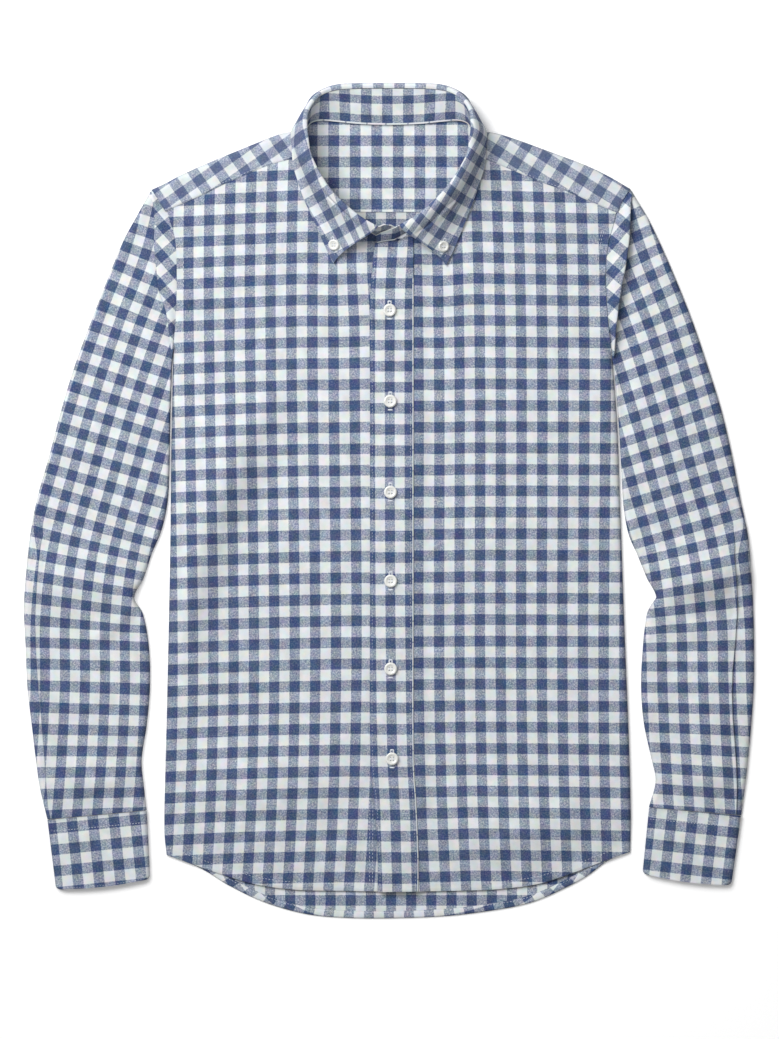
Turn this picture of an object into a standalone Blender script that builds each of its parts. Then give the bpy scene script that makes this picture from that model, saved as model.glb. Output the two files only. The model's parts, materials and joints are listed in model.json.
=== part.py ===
"""A gingham shirt with a button-down collar, laid flat on its back, front up.

The script builds each cut piece of the shirt as its own solid: a sheet of cloth from a grid of
points, given its wall by Solidify. X runs across the shirt, to the wearer's left, Y runs up
towards the collar and Z up from the surface that the shirt lies on. The origin is on that
surface, in the middle of the shirt. The tables are in millimetres, and MM turns them into metres.
Right and left are the wearer's.
"""

import math

import bmesh
import bpy
import numpy as np
from mathutils import Vector

MM = 0.001

# Cloth and layers
WALL = 1.0  # thickness of one layer
GAP = 0.4  # between two pieces that are sewn together or lie on each other
SLOPED_GAP = 0.65  # the same along Y, where the seam runs aslant
ARMHOLE_GAP = 0.65  # the same at the armhole, where the two pieces lean towards each other
LAYER = WALL + GAP  # step from the middle of one layer to the middle of the next
OVERLAP_RISE = 1.6  # the same where the left front lies over the right one
LEAF_RISE = 1.9  # rise of the yoke over the part of the collar's leaf that lies below it
GROUND = WALL / 2  # middle of the layer that lies on the surface
FOLD_INSET = 1.3  # how far a folded edge's lower layer stays inside the fold
FOLD_RISE = 1.2  # middle of the fold above the middle of the lower layer
EDGE_WIDTH = 4.0  # width of the rounded edge of a panel
EDGE_HEIGHT = 2.5  # height of the rounded edge
CROWN = 0.7  # slow rise of a panel towards its middle
CROWN_WIDTH = 40.0
HEM_HEIGHT_SHARE = 0.35  # share of its height that the front keeps at its hem
HEM_REACH = 45.0
SAG_REACH = 20.0  # a sleeve's sag comes in over this depth
HEAD_WIDTH = 150.0  # of the strip at the sleeve head, unfolded along the armhole

# Outlines of the body, each from the first corner named to the second: (x, y)
SIDE_RIGHT = [  # hem to underarm
    (-212.5, -339), (-214.5, -318), (-214, -270), (-211.5, -172), (-209, -48), (-208, 48), (-206, 147),
]
SIDE_LEFT = [(230.5, -336), (231, -300), (229, -224), (225, -124), (221, -10), (218, 72), (213, 140)]
ARMHOLE_RIGHT = [  # underarm to shoulder tip
    (-206, 147), (-203.5, 184), (-203, 221), (-204.5, 249), (-210, 268), (-218, 283), (-227, 297),
]
ARMHOLE_LEFT = [(213, 140), (208.5, 182), (207, 217), (209, 242), (214, 262), (222, 284), (230.5, 298)]
SHOULDER_RIGHT = [  # shoulder tip to neck, along the fold of the yoke
    (-227, 297), (-214, 303), (-197, 312), (-171, 323.5), (-144.5, 334.5), (-108, 349), (-96, 352),
    (-84, 351),
]
SHOULDER_LEFT = [
    (230.5, 298), (208, 311), (188, 320.5), (147, 336), (125, 344), (106, 350), (96, 352), (84, 351),
]
YOKE_SEAM_RIGHT = [  # armhole to neck
    (-214, 276.5), (-209, 279), (-175, 294), (-159, 302), (-129, 315), (-114, 321), (-94, 327), (-83.5, 331),
]
YOKE_SEAM_LEFT = [
    (218.5, 275), (208, 279.5), (188, 288), (169, 296), (144, 305), (125, 313), (93, 326), (83.5, 330),
]
HEM_RIGHT = [  # side seam to front edge, under the placket
    (-212.5, -339), (-188, -348), (-147, -363), (-121, -370), (-85, -375), (-42, -376), (14, -374.5),
]
HEM_LEFT = [  # side seam to front edge
    (230.5, -336), (203, -346), (171, -358), (142, -367), (102, -372), (77, -373), (29, -374),
    (-8.5, -374.5),
]
HEM_BACK = [  # right side seam to left side seam
    (-212.5, -339), (-188, -348), (-174, -355), (-155, -367), (-122, -383), (-86, -394), (-58, -398),
    (-9, -399.5), (58, -397), (111, -390), (137, -384), (159, -375), (188, -360), (210, -344), (230.5, -336),
]
NECKLINE_BACK = [  # right neck corner to left neck corner
    (-84, 351), (-79, 358), (-70, 362.5), (-40, 363.5), (0, 362.5), (40, 363.5), (70, 362.5), (79, 358),
    (84, 351),
]
NECKLINE_RIGHT = [  # front edge to yoke seam
    (14, 250.5), (2, 251), (-13, 255), (-36, 266.5), (-55, 283.5), (-71.5, 303), (-80.5, 321), (-83.5, 330.6),
]
NECKLINE_LEFT = [
    (-11, 246), (-1, 248), (9, 248.3), (20, 256), (37, 267), (55, 283.5), (71.5, 303), (80.5, 321),
    (83.5, 329.6),
]
NECK_CORNER = 84.0  # half width of the neck at the shoulder fold
YOKE_BACK_Y = 276.0  # seam between the yoke and the back panel

# Front opening: the left front, with its placket, lies over the right front
PLACKET_FREE = [  # from the hem up, at the opening
    (-9.5, -374.5), (-9.4, -340), (-12.5, -290), (-16.4, -250), (-16.7, -100), (-16.7, 100), (-14.5, 246),
]
PLACKET_SEWN = [  # from the hem up, where it joins the left front
    (28, -374), (28, -340), (26, -290), (23.6, -250), (23.4, -100), (23.4, 100), (23.4, 257),
]
PLACKET_TOP = [(-14.5, 246), (-1, 247.8), (9, 248.2), (16, 253), (23.4, 257)]
FRONT_EDGE_RIGHT_X = 14.0
FRONT_EDGE_INSET = 1.2  # the left front's own edge stays this far inside the placket's
OVERLAP_ENDS = (26.0, 40.0)  # x between which the left front comes down off the right front

# Sleeves: strip of cloth folded over at the sleeve head, from underarm to shoulder tip: (x, y)
HEAD_FOLD_RIGHT = [
    (-207.8, 142), (-213, 180), (-220, 202), (-222.5, 224), (-224.5, 245), (-224, 266), (-225.5, 284),
    (-229, 293),
]
HEAD_FOLD_LEFT = [
    (215.2, 135), (217.5, 168), (222, 202), (226, 223), (228.5, 240), (230.3, 258), (231, 279),
    (232.4, 294),
]
ARMHOLE_SHARES = [0, 0.12, 0.26, 0.4, 0.54, 0.7, 0.845]  # of its length, where both sides have points
SIDE_STEPS = 9
NECK_STEPS = 4
HEAD_STEP = 1.9  # height of the fold's edge above the sleeve beyond it
HEAD_TURN = 0.6  # how far before and behind its line the edge starts and ends
HEAD_LEVEL = GROUND + FOLD_RISE + 0.4  # lowest middle of the upper layer beyond the fold
# A sleeve's sections, from the underarm down: its inner and outer edge, how far the section bows
# towards the shoulder, how far its middle sinks, and the depth of the crease near its outer edge
SLEEVE_COLUMNS = ("inner_x", "inner_y", "outer_x", "outer_y", "bow", "sag", "pleat")
SLEEVE_RIGHT = [
    (-208, 128, -241, 272, -1, 1.2, 0),
    (-208.4, 113, -254, 248, 3, 0.8, 0),
    (-209.2, 92, -268, 214, 3, 0.3, 0),
    (-209.8, 62, -284, 173, 2, 0, 0),
    (-210.4, 28, -300, 130, 0, 0, 0),
    (-212.5, -4, -314, 84, 0, 0, 0),
    (-218.5, -30, -325.5, 40, 0, 0, 0),
    (-227, -50, -335, 7, 0, 0, 0),
    (-235, -74, -342.5, -30, 0, 0, 0),
    (-244, -93, -347.5, -76, 0, 0.6, 0.4),
    (-235.5, -109, -349, -104, 0, 0.2, 1.0),
    (-230, -140, -347.3, -140, 0, 0, 1.2),
    (-229, -178, -345.7, -178, 0, 0, 1.2),
    (-232, -214, -341.7, -213, 0, 0, 1.2),
    (-237, -248, -337.5, -248, 0, 0, 1.2),
    (-235, -272, -333.8, -274, 0, 0, 1.1),
    (-232.3, -296.3, -326.5, -305, 0, 0.6, 0.8),
]
SLEEVE_LEFT = [
    (216, 122, 247, 271, 3, 1.2, 0),
    (217.4, 107, 259, 246, 4, 0.8, 0),
    (219.2, 86, 273, 214, 3, 0.3, 0),
    (221, 58, 289, 174, 2, 0, 0),
    (222.8, 26, 304, 130, 0, 0, 0),
    (224.8, -6, 318, 85, 0, 0, 0),
    (229.5, -32, 328.5, 40, 0, 0, 0),
    (238, -52, 335.5, 3, 0, 0, 0),
    (247, -74, 343.5, -36, 0, 0, 0),
    (255, -92, 347, -77, 0, 0.6, 0.4),
    (246, -109, 348.3, -106, 0, 0.2, 1.0),
    (243, -138, 349, -138, 0, 0, 1.2),
    (241.5, -176, 348.8, -176, 0, 0, 1.2),
    (244, -212, 346.5, -212, 0, 0, 1.2),
    (251, -245, 343.5, -246, 0, 0, 1.2),
    (255.5, -268, 341, -269, 0, 0, 1.1),
    (249, -293.5, 336.8, -301, 0, 0.6, 0.8),
]
PLEAT_PLACES = (12.5, 10.5)  # that crease, from the outer edge: top and foot of its step
CUFF_COLUMNS = ("inner_x", "inner_y", "outer_x", "outer_y")  # a row for the top and one for the foot
CUFF_RIGHT = [(-232, -296.9, -326.3, -305.6), (-229, -362, -318, -372)]
CUFF_LEFT = [(249.3, -294, 336.6, -301.6), (243, -357, 327, -368)]
CUFF_RISE = 0.4  # the cuff is thicker than the sleeve

# Collar, from the middle of the back to the front end, on the wearer's left; the right mirrors it.
# neck is the seam with the body, roll the inner edge of the fold, edge the free edge of the leaf.
# reach is how far the leaf swings out from the fold; lie and lift say how it arrives at its edge.
COLLAR_COLUMNS = (
    "neck_x", "neck_y", "neck_z", "roll_x", "roll_y", "roll_z",
    "edge_x", "edge_y", "edge_z", "reach", "lie", "lift",
)
COLLAR = [
    (0, 359.4, 3.85, 0, 395.5, 12, 0, 351, 0.5, 3, 58, 0),
    (28, 360.2, 3.85, 28, 395.3, 12.5, 27, 351, 0.5, 3, 58, 0),
    (50, 362.3, 3.85, 51, 393.6, 14, 50, 351, 0.5, 3, 55, 0),
    (65, 363.5, 4.0, 64.5, 388.3, 17.5, 69, 352, 0.5, 4, 42, 0),
    (74, 361.5, 3.7, 72.5, 380, 21.5, 83, 355, 0.5, 7, 14, 0),
    (78.5, 356.5, 4.2, 76.8, 371.5, 25, 91, 358, 1.1, 8, 6, 0.5),
    (80, 352.5, 4.8, 78, 363, 27.2, 96.8, 354.6, 4.4, 8, 1, 6),
    (81, 347, 6, 78, 355.5, 28.6, 96.4, 348.5, 8.2, 8, -2, 6),
    (81.3, 339, 7, 76.8, 346, 29.4, 94.3, 340, 8.6, 8, -4, 4),
    (78.6, 322, 7.5, 74.5, 332, 30, 91.7, 322, 8.2, 8, -6, 3),
    (70, 304.5, 7.5, 68, 317, 30, 87.4, 306, 7.8, 8, -8, 2.5),
    (54, 285.5, 7.5, 57, 299, 29.4, 80.5, 286, 7.4, 8, -12, 2),
    (36, 269, 8, 40, 281.5, 28.2, 72, 264, 7, 8, -16, 1.5),
    (22, 259.3, 8.3, 25.5, 270, 27, 62.5, 243, 6.8, 7, -18, 1.2),
    (13, 253.6, 8.5, 13.4, 262.8, 26, 53.2, 226.5, 6.8, 6, -18, 1.2),
]
ROLL_TURN = 5.0  # length of stand that the leaf's cloth covers below the fold
ROLL_RADIUS = 2.5
# The stand's own ends, beyond the leaf: its seam with the body, then its free upper edge
BAND_COLUMNS = ("neck_x", "neck_y", "neck_z", "top_x", "top_y", "top_z")
BAND_END_LEFT = [  # across the middle and over the right end
    (6, 250.4, 8.6, 6.4, 260.5, 25.5),
    (-2, 249.9, 8.8, -2.4, 258.8, 25.0),
    (-8.5, 249.2, 8.8, -9, 257.2, 23.0),
    (-12, 248.6, 9.8, -13, 254.8, 19.0),
]
BAND_END_RIGHT = [
    (-5, 253.8, 7.9, -5, 263.3, 24.5),
    (2, 253.2, 7.9, 2, 262.7, 23.5),
    (7, 253.6, 8.9, 7, 260.5, 19.0),
]

# Buttons
BUTTON_DIAMETER = 12.0
COLLAR_BUTTON_DIAMETER = 9.5
BUTTON_HEIGHT = 2.2
BUTTON_STEPS = 16
HOLE_SPREAD = 0.26  # of the button's radius, from its middle to a hole along X and Y
HOLE_SHARE = 0.13  # of the button's radius, for the radius of a hole
BUTTON_PLACES = [(0.4, 183), (1.0, 96), (1.3, 9), (1.5, -76), (1.5, -160), (2.8, -246)]
COLLAR_BUTTON_RIGHT = (-52.6, 244.5)
COLLAR_BUTTON_LEFT = (52.0, 243.5)

CLOTH_COLOUR = (0.30, 0.35, 0.53)
BUTTON_COLOUR = (0.86, 0.86, 0.84)


# ---------------------------------------------------------------- curves and heights


def through(rows, knots, at):
    """A smooth curve through the rows, which sit at these knots, read at one place."""
    last = len(rows) - 1
    i = max(0, min(last - 1, sum(knot <= at for knot in knots) - 1))
    span = knots[i + 1] - knots[i]
    t = (at - knots[i]) / span

    def slope(j):
        a = max(j - 1, 0)
        b = min(j + 1, last)
        return [(q - p) / (knots[b] - knots[a]) for p, q in zip(rows[a], rows[b])]

    start = (1 + 2 * t) * (1 - t) ** 2
    start_slope = t * (1 - t) ** 2 * span
    end_slope = t * t * (t - 1) * span
    read = []
    for p, q, m, n in zip(rows[i], rows[i + 1], slope(i), slope(i + 1)):
        read.append(start * p + (1 - start) * q + start_slope * m + end_slope * n)
    return tuple(read)


def along(points, share):
    """The point at this share, from 0 to 1, of an outline's length."""
    knots = [0.0]
    for a, b in zip(points, points[1:]):
        knots.append(knots[-1] + math.dist(a, b))
    return through(points, knots, share * knots[-1])


def sampled(points, shares):
    return [along(points, share) for share in shares]


def even(steps):
    return [i / steps for i in range(steps + 1)]


def chain(*parts):
    """Points along several outlines joined end to end. Each part is its points and its steps."""
    line = []
    for points, steps in parts:
        line += sampled(points, even(steps))[:-1]
    return line + [parts[-1][0][-1]]


def ramp(value, start, end):
    """0 before start, 1 after end, and smooth in between."""
    t = max(0.0, min(1.0, (value - start) / (end - start)))
    return t * t * (3 - 2 * t)


def distance(lines, x, y):
    """From a point to the nearest of the lines, each an array of points."""
    nearest = math.inf
    for line in lines:
        start = line[:-1]
        step = line[1:] - start
        away = np.array((x, y)) - start
        t = np.clip((away * step).sum(1) / (step * step).sum(1), 0, 1)
        nearest = min(nearest, np.hypot(*(away - t[:, None] * step).T).min())
    return float(nearest)


FINE = even(80)
CLOSED_EDGES = [
    np.array(sampled(line, FINE)) for line in (SIDE_RIGHT, SIDE_LEFT, SHOULDER_RIGHT, SHOULDER_LEFT)
]
FRONT_HEMS = [np.array(sampled(line, FINE)) for line in (HEM_RIGHT, HEM_LEFT)]


def rounded(depth):
    """Height of a panel at this depth inside its folded or sewn edge."""
    t = min(depth / EDGE_WIDTH, 1.0)
    edge = EDGE_HEIGHT * math.sqrt(1 - (1 - t) ** 2)
    return edge + CROWN * (1 - math.exp(-depth / CROWN_WIDTH))


def under(x, y):
    """Middle of the lower layer. It rises at the back of the neck, over the collar's leaf."""
    return GROUND + LEAF_RISE * ramp(y, 326, 345) * ramp(-abs(x), -132, -106)


def lay(x, y):
    """Middle of the upper layer, where the fronts and the front of the yoke lie."""
    hem_share = HEM_HEIGHT_SHARE + (1 - HEM_HEIGHT_SHARE) * ramp(distance(FRONT_HEMS, x, y), 0, HEM_REACH)
    return under(x, y) + FOLD_RISE + hem_share * rounded(distance(CLOSED_EDGES, x, y))


def left_front_height(x, y):
    """The left front climbs over the right front near the middle."""
    return lay(x, y) + OVERLAP_RISE * (1 - ramp(x, *OVERLAP_ENDS))


def placket_height(x, y):
    return left_front_height(x, y) + LAYER


# ---------------------------------------------------------------- objects


def material(name, colour, roughness):
    made = bpy.data.materials.new(name)
    made.use_nodes = True
    shader = made.node_tree.nodes["Principled BSDF"]
    shader.inputs["Base Color"].default_value = (*colour, 1)
    shader.inputs["Roughness"].default_value = roughness
    return made


def add_object(name, bm, colour, roughness):
    """A node from a finished bmesh, in the shirt's collection, with its own material."""
    mesh = bpy.data.meshes.new(name)
    bm.to_mesh(mesh)
    bm.free()
    obj = bpy.data.objects.new(name, mesh)
    mesh.materials.append(material(f"{name}_finish", colour, roughness))
    bpy.data.collections["shirt"].objects.link(obj)
    return obj


def cloth(name, rows, closed=False, left_out=None):
    """A sheet of cloth from rows of points. A closed one is a tube: each row comes back to its start.
    left_out says, from a face's column and row, which faces the sheet lacks."""
    if closed:
        rows = [[*row, row[0]] for row in rows]
    columns = len(rows[0]) - 1
    count = len(rows) - 1
    bm = bmesh.new()
    bmesh.ops.create_grid(bm, x_segments=columns, y_segments=count, size=0.5)
    place = {v: (round((v.co.x + 0.5) * columns), round((v.co.y + 0.5) * count)) for v in bm.verts}
    for vert, (i, j) in place.items():
        vert.co = Vector(rows[j][i]) * MM
    if left_out:
        corner = {face: tuple(map(min, zip(*(place[v] for v in face.verts)))) for face in bm.faces}
        unwanted = [face for face, (i, j) in corner.items() if left_out(i, j)]
        bmesh.ops.delete(bm, geom=unwanted, context="FACES")
    if closed:
        bmesh.ops.remove_doubles(bm, verts=bm.verts, dist=1e-6)
    obj = add_object(name, bm, CLOTH_COLOUR, 0.9)
    wall = obj.modifiers.new("wall", "SOLIDIFY")
    wall.thickness = WALL * MM
    wall.offset = 0
    return obj


def patch(bottom, top, start, end, columns, rows):
    """A grid of (x, y) that fills four outlines: bottom and top run across, start and end run up."""
    grid = []
    for j, v in enumerate(rows):
        line = []
        for i, u in enumerate(columns):
            point = []
            for axis in (0, 1):
                across = (1 - v) * bottom[i][axis] + v * top[i][axis]
                upwards = (1 - u) * start[j][axis] + u * end[j][axis]
                low = (1 - u) * bottom[0][axis] + u * bottom[-1][axis]
                high = (1 - u) * top[0][axis] + u * top[-1][axis]
                point.append(across + upwards - (1 - v) * low - v * high)
            line.append(tuple(point))
        grid.append(line)
    return grid


def raised(grid, height):
    return [[(x, y, height(x, y)) for x, y in line] for line in grid]


def share_of_armhole(armhole, y):
    """Share of an armhole's length at which it reaches this height."""
    return next(share for share in even(600) if along(armhole, share)[1] >= y)


# ---------------------------------------------------------------- body


def side_chain(side, armhole, seam_y):
    """Points up the side seam and the armhole to a seam that ends on the armhole. Those on the
    armhole are the sleeve's own, so that the two sides of the seam keep their distance."""
    shares = [share for share in ARMHOLE_SHARES if share < share_of_armhole(armhole, seam_y) - 0.03]
    points = chain((side, SIDE_STEPS))[:-1] + sampled(armhole, shares)
    return points + [along(armhole, share_of_armhole(armhole, seam_y))]


def upper_armhole(armhole, seam_y):
    """The armhole from a seam up to the shoulder tip, as an outline."""
    share = share_of_armhole(armhole, seam_y)
    return sampled(armhole, [share + (1 - share) * part for part in even(3)])


def back_panel():
    columns = even(16)
    bottom = sampled(HEM_BACK, columns)
    start = side_chain(SIDE_RIGHT, ARMHOLE_RIGHT, YOKE_BACK_Y)
    end = side_chain(SIDE_LEFT, ARMHOLE_LEFT, YOKE_BACK_Y)
    top_y = YOKE_BACK_Y - GAP / 2
    start[-1] = (start[-1][0], top_y)
    end[-1] = (end[-1][0], top_y)
    top = [((1 - u) * start[-1][0] + u * end[-1][0], top_y) for u in columns]
    grid = patch(bottom, top, start, end, columns, even(len(start) - 1))
    cloth("back", raised(grid, under))


def front_panel(name, side, armhole, seam, hem, neckline, edge, height):
    """One front, from its side seam to its front edge."""
    columns = [0, 0.005, 0.02, 0.07, 0.2, 0.36, 0.52, 0.68, 0.8, 0.86, 0.92, 1]
    seam = [(x, y - SLOPED_GAP) for x, y in seam]
    start = side_chain(side, armhole, seam[0][1])
    start[-1] = seam[0]
    end = chain((edge, len(start) - 1 - NECK_STEPS), (neckline, NECK_STEPS))
    end[-1] = seam[-1]
    grid = patch(sampled(hem, columns), sampled(seam, columns), start, end, columns, even(len(start) - 1))
    cloth(name, raised(grid, height))


def fronts():
    edge = [(FRONT_EDGE_RIGHT_X, HEM_RIGHT[-1][1]), (FRONT_EDGE_RIGHT_X, 0), NECKLINE_RIGHT[0]]
    outlines = (SIDE_RIGHT, ARMHOLE_RIGHT, YOKE_SEAM_RIGHT, HEM_RIGHT, NECKLINE_RIGHT, edge)
    front_panel("front_right", *outlines, lay)
    edge = [(x + FRONT_EDGE_INSET, y) for x, y in PLACKET_FREE[:-1]] + [NECKLINE_LEFT[0]]
    hem = HEM_LEFT[:-1] + [edge[0]]
    outlines = (SIDE_LEFT, ARMHOLE_LEFT, YOKE_SEAM_LEFT, hem, NECKLINE_LEFT, edge)
    front_panel("front_left", *outlines, left_front_height)


def placket():
    columns = [0, 0.03, 0.3, 0.7, 0.97, 1]
    rows = even(14)
    bottom = [((1 - u) * PLACKET_FREE[0][0] + u * PLACKET_SEWN[0][0], PLACKET_FREE[0][1]) for u in columns]
    bottom[-1] = PLACKET_SEWN[0]
    top = sampled(PLACKET_TOP, columns)
    grid = patch(bottom, top, sampled(PLACKET_FREE, rows), sampled(PLACKET_SEWN, rows), columns, rows)
    cloth("placket", raised(grid, placket_height))


def yoke_strip(armhole, shoulder, seam, columns):
    """The front part of the yoke on one side: rows from the shoulder fold down to the front seam."""
    rows = [0, 0.5, 0.84, 0.96, 1]
    start = sampled([seam[0], *upper_armhole(armhole, seam[0][1])[1:]], rows)
    end = sampled([seam[-1], shoulder[-1]], rows)
    grid = patch(sampled(seam, columns), sampled(shoulder, columns), start, end, columns, rows)
    return raised(grid, lay)[::-1]


def yoke():
    """Its back part, and on each side a strip that turns over the shoulder to the front. One cloth
    on a real shirt, but three solids here, parted at the corners of the neck under the collar: one
    solid would get hulls that fill the neck."""
    side_columns = [0, 0.02, 0.2, 0.4, 0.6, 0.8, 1]
    neck_columns = even(8)
    right = yoke_strip(ARMHOLE_RIGHT, SHOULDER_RIGHT, YOKE_SEAM_RIGHT, side_columns)
    left = yoke_strip(ARMHOLE_LEFT, SHOULDER_LEFT, YOKE_SEAM_LEFT, side_columns)

    def inset(points):
        return [(x, y - FOLD_INSET) for x, y in points]

    right_top = inset(sampled(SHOULDER_RIGHT, side_columns))
    left_top = inset(sampled(SHOULDER_LEFT, side_columns))[::-1]
    neck_top = sampled(NECKLINE_BACK, neck_columns)[1:-1]
    top = right_top + neck_top + left_top
    low_y = YOKE_BACK_Y + GAP / 2
    low_right = upper_armhole(ARMHOLE_RIGHT, low_y)[:-1] + [right_top[0]]
    low_left = upper_armhole(ARMHOLE_LEFT, low_y)[:-1] + [left_top[-1]]
    ends = (low_right[0][0], low_left[0][0])
    corners = (-NECK_CORNER, NECK_CORNER)
    bottom_x = [ends[0] + (corners[0] - ends[0]) * u for u in side_columns]
    bottom_x += [corners[0] + 2 * NECK_CORNER * u for u in neck_columns[1:-1]]
    bottom_x += [ends[1] + (corners[1] - ends[1]) * u for u in side_columns[::-1]]
    rows = []
    for v in (0, 0.3, 0.6, 0.85, 1):
        line = [((1 - v) * x + v * high[0], (1 - v) * low_y + v * high[1]) for x, high in zip(bottom_x, top)]
        line[0] = along(low_right, v)
        line[-1] = along(low_left, v)
        rows.append([(x, y, under(x, y)) for x, y in line])
    first = len(side_columns) - 1
    last = first + len(neck_columns) - 1

    def parted(line, end, turn):
        x, y, z = line[end]
        return [*line[:end], (x + turn * GAP / 2, y, z), *line[end + 1 :]]

    middle = [parted(parted(row[first : last + 1], 0, 1), last - first, -1) for row in rows]
    right_back = [parted(row[: first + 1], first, -1) for row in rows]
    left_back = [parted(row[last:], 0, 1) for row in rows]
    cloth("yoke", middle)
    cloth("yoke_right", right_back + right)
    cloth("yoke_left", left_back + [line[::-1] for line in left])


# ---------------------------------------------------------------- sleeves and cuffs


def across(width):
    """Shares of a sleeve's width for its upper layer: close together at its edges and at its crease."""
    top, foot = PLEAT_PLACES
    near = [0, 1 / width, EDGE_WIDTH / width]
    far = [1 - top / width, 1 - foot / width, 1 - EDGE_WIDTH / width, 1 - 1 / width, 1]
    return near + ARMHOLE_SHARES[1:] + far


def below(width):
    """Shares of the width for the lower layer, on its way back."""
    return [1 - FOLD_INSET / width, *ARMHOLE_SHARES[:0:-1], FOLD_INSET / width]


def section(row):
    """One ring of a sleeve or cuff: over its upper layer from the inner edge, and back below."""
    inner = np.array([row["inner_x"], row["inner_y"]], float)
    outer = np.array([row["outer_x"], row["outer_y"]], float)
    width = math.dist(inner, outer)
    sideways = np.array((outer[1] - inner[1], inner[0] - outer[0])) / width
    if sideways[1] < 0:
        sideways = -sideways

    def place(share):
        return inner + (outer - inner) * share + sideways * row["bow"] * 4 * share * (1 - share)

    ring = []
    shares = across(width)
    for number, share in enumerate(shares):
        depth = min(share, 1 - share) * width
        z = GROUND + FOLD_RISE + rounded(depth) - row["sag"] * ramp(depth, 0, SAG_REACH)
        if number >= len(shares) - 4:
            z -= row["pleat"] * ramp(depth, 0, EDGE_WIDTH)
        ring.append((*place(share), z))
    return ring + [(*place(share), GROUND) for share in below(width)]


def beside(armhole, share, from_end):
    """A point of the sleeve's edge: beside the armhole, by the gap and, at its ends, by a wall more."""
    before = np.array(along(armhole, max(share - 0.01, 0)))
    after = np.array(along(armhole, min(share + 0.01, 1)))
    run = (after - before) / math.dist(before, after)
    outward = np.array((-run[1], run[0])) * -math.copysign(1, before[0])
    return np.array(along(armhole, share)) + outward * (ARMHOLE_GAP + WALL * (1 - ramp(from_end, 0, 0.05)))


def head_rings(armhole, fold):
    """Rings of the sleeve head. A pressed fold of the sleeve lies along the armhole as a raised
    strip, and steps down at the fold's line to the sleeve. It flattens out towards both ends."""
    shares = across(HEAD_WIDTH)
    rings = [[], [], []]
    for share in shares:
        from_end = min(share, 1 - share)
        seam = along(armhole, share)
        start = beside(armhole, share, from_end)
        line = np.array(along(fold, share))
        strip = math.dist(start, line)
        way = (line - start) / strip
        high = lay(*seam)
        foot = min(high, max(high - HEAD_STEP, HEAD_LEVEL))
        foot = high + (foot - high) * ramp(from_end, 0, 0.09)
        places = ((0, high), (strip - HEAD_TURN, high), (strip + HEAD_TURN, foot))
        for ring, (far, z) in zip(rings, places):
            ring.append((*(start + way * far), z))
    for share in below(HEAD_WIDTH):
        start = beside(armhole, share, min(share, 1 - share))
        line = np.array(along(fold, share))
        for number, ring in enumerate(rings):
            ring.append((*(start + (line - start) * number / 2), GROUND))
    return rings


def sleeve(name, armhole, fold, sections):
    rings = [section(dict(zip(SLEEVE_COLUMNS, row))) for row in sections]
    cloth(name, head_rings(armhole, fold) + rings, closed=True)


def cuff(name, ends):
    top, foot = ends
    rings = []
    for share in (0, 0.5, 1):
        line = [(1 - share) * a + share * b for a, b in zip(top, foot)]
        ring = section({**dict(zip(CUFF_COLUMNS, line)), "bow": 0, "sag": 0, "pleat": 0})
        rings.append([(x, y, z + CUFF_RISE * (z > GROUND)) for x, y, z in ring])
    cloth(name, rings, closed=True)


# ---------------------------------------------------------------- collar


def mirrored(point, side):
    return Vector((point[0] * side, point[1], point[2]))


def collar_section(index, side):
    """The points that shape the collar at one row of its table, on one side."""
    row = dict(zip(COLLAR_COLUMNS, COLLAR[index]))
    neck = mirrored([row["neck_x"], row["neck_y"], row["neck_z"]], side)
    roll = mirrored([row["roll_x"], row["roll_y"], row["roll_z"]], side)
    edge = mirrored([row["edge_x"], row["edge_y"], row["edge_z"]], side)
    before = COLLAR[max(index - 1, 0)]
    after = COLLAR[min(index + 1, len(COLLAR) - 1)]
    run = Vector(((after[3] - before[3]) * side, after[4] - before[4], 0)).normalized()
    out = Vector((-run.y, run.x, 0)) * side
    if index == 0:
        out = Vector((0, 1, 0))
    down = (neck - roll).normalized()
    start = roll + down * ROLL_TURN
    crest = roll + out * ROLL_RADIUS * abs(down.z)
    fall = crest + out * row["reach"]
    rest = edge + out * row["lie"] + Vector((0, 0, row["lift"]))
    return neck, start, roll, crest, fall, rest, edge


def leaf_line(index, side):
    """Points down the leaf at one row: up the last of the stand, over the fold and out to the edge."""
    _, start, roll, crest, fall, rest, edge = collar_section(index, side)
    line = []
    for t in (0, 0.4, 0.75):
        line.append(start * (1 - t) ** 2 + roll * 2 * t * (1 - t) + crest * t * t)
    for t in (0, 0.1, 0.22, 0.36, 0.52, 0.68, 0.82, 0.92, 1):
        s = 1 - t
        line.append(crest * s**3 + fall * 3 * s * s * t + rest * 3 * s * t * t + edge * t**3)
    return line


def stand_line(index, side):
    """Points up the stand at one row, from the neck seam to the leaf's cloth."""
    neck, start, roll = collar_section(index, side)[:3]
    top = start + (neck - roll).normalized() * 1.5 * GAP
    return [neck.lerp(top, share) for share in (0, 0.33, 0.67, 1)]


def collar():
    last = len(COLLAR) - 1
    places = [(index, -1) for index in range(last, 0, -1)] + [(index, 1) for index in range(last + 1)]
    leaf = [leaf_line(index, side) for index, side in places]
    cloth("collar_fall", leaf)
    band = [stand_line(index, side) for index, side in places]

    def end_line(row):
        low = Vector(row[:3])
        high = Vector(row[3:])
        return [low.lerp(high, share) for share in (0, 0.33, 0.67, 1)]

    right_end = [end_line(row) for row in reversed(BAND_END_RIGHT)]
    left_end = [end_line(row) for row in BAND_END_LEFT]
    cloth("collar_stand", right_end + band + left_end)
    return leaf


# ---------------------------------------------------------------- buttons


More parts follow.
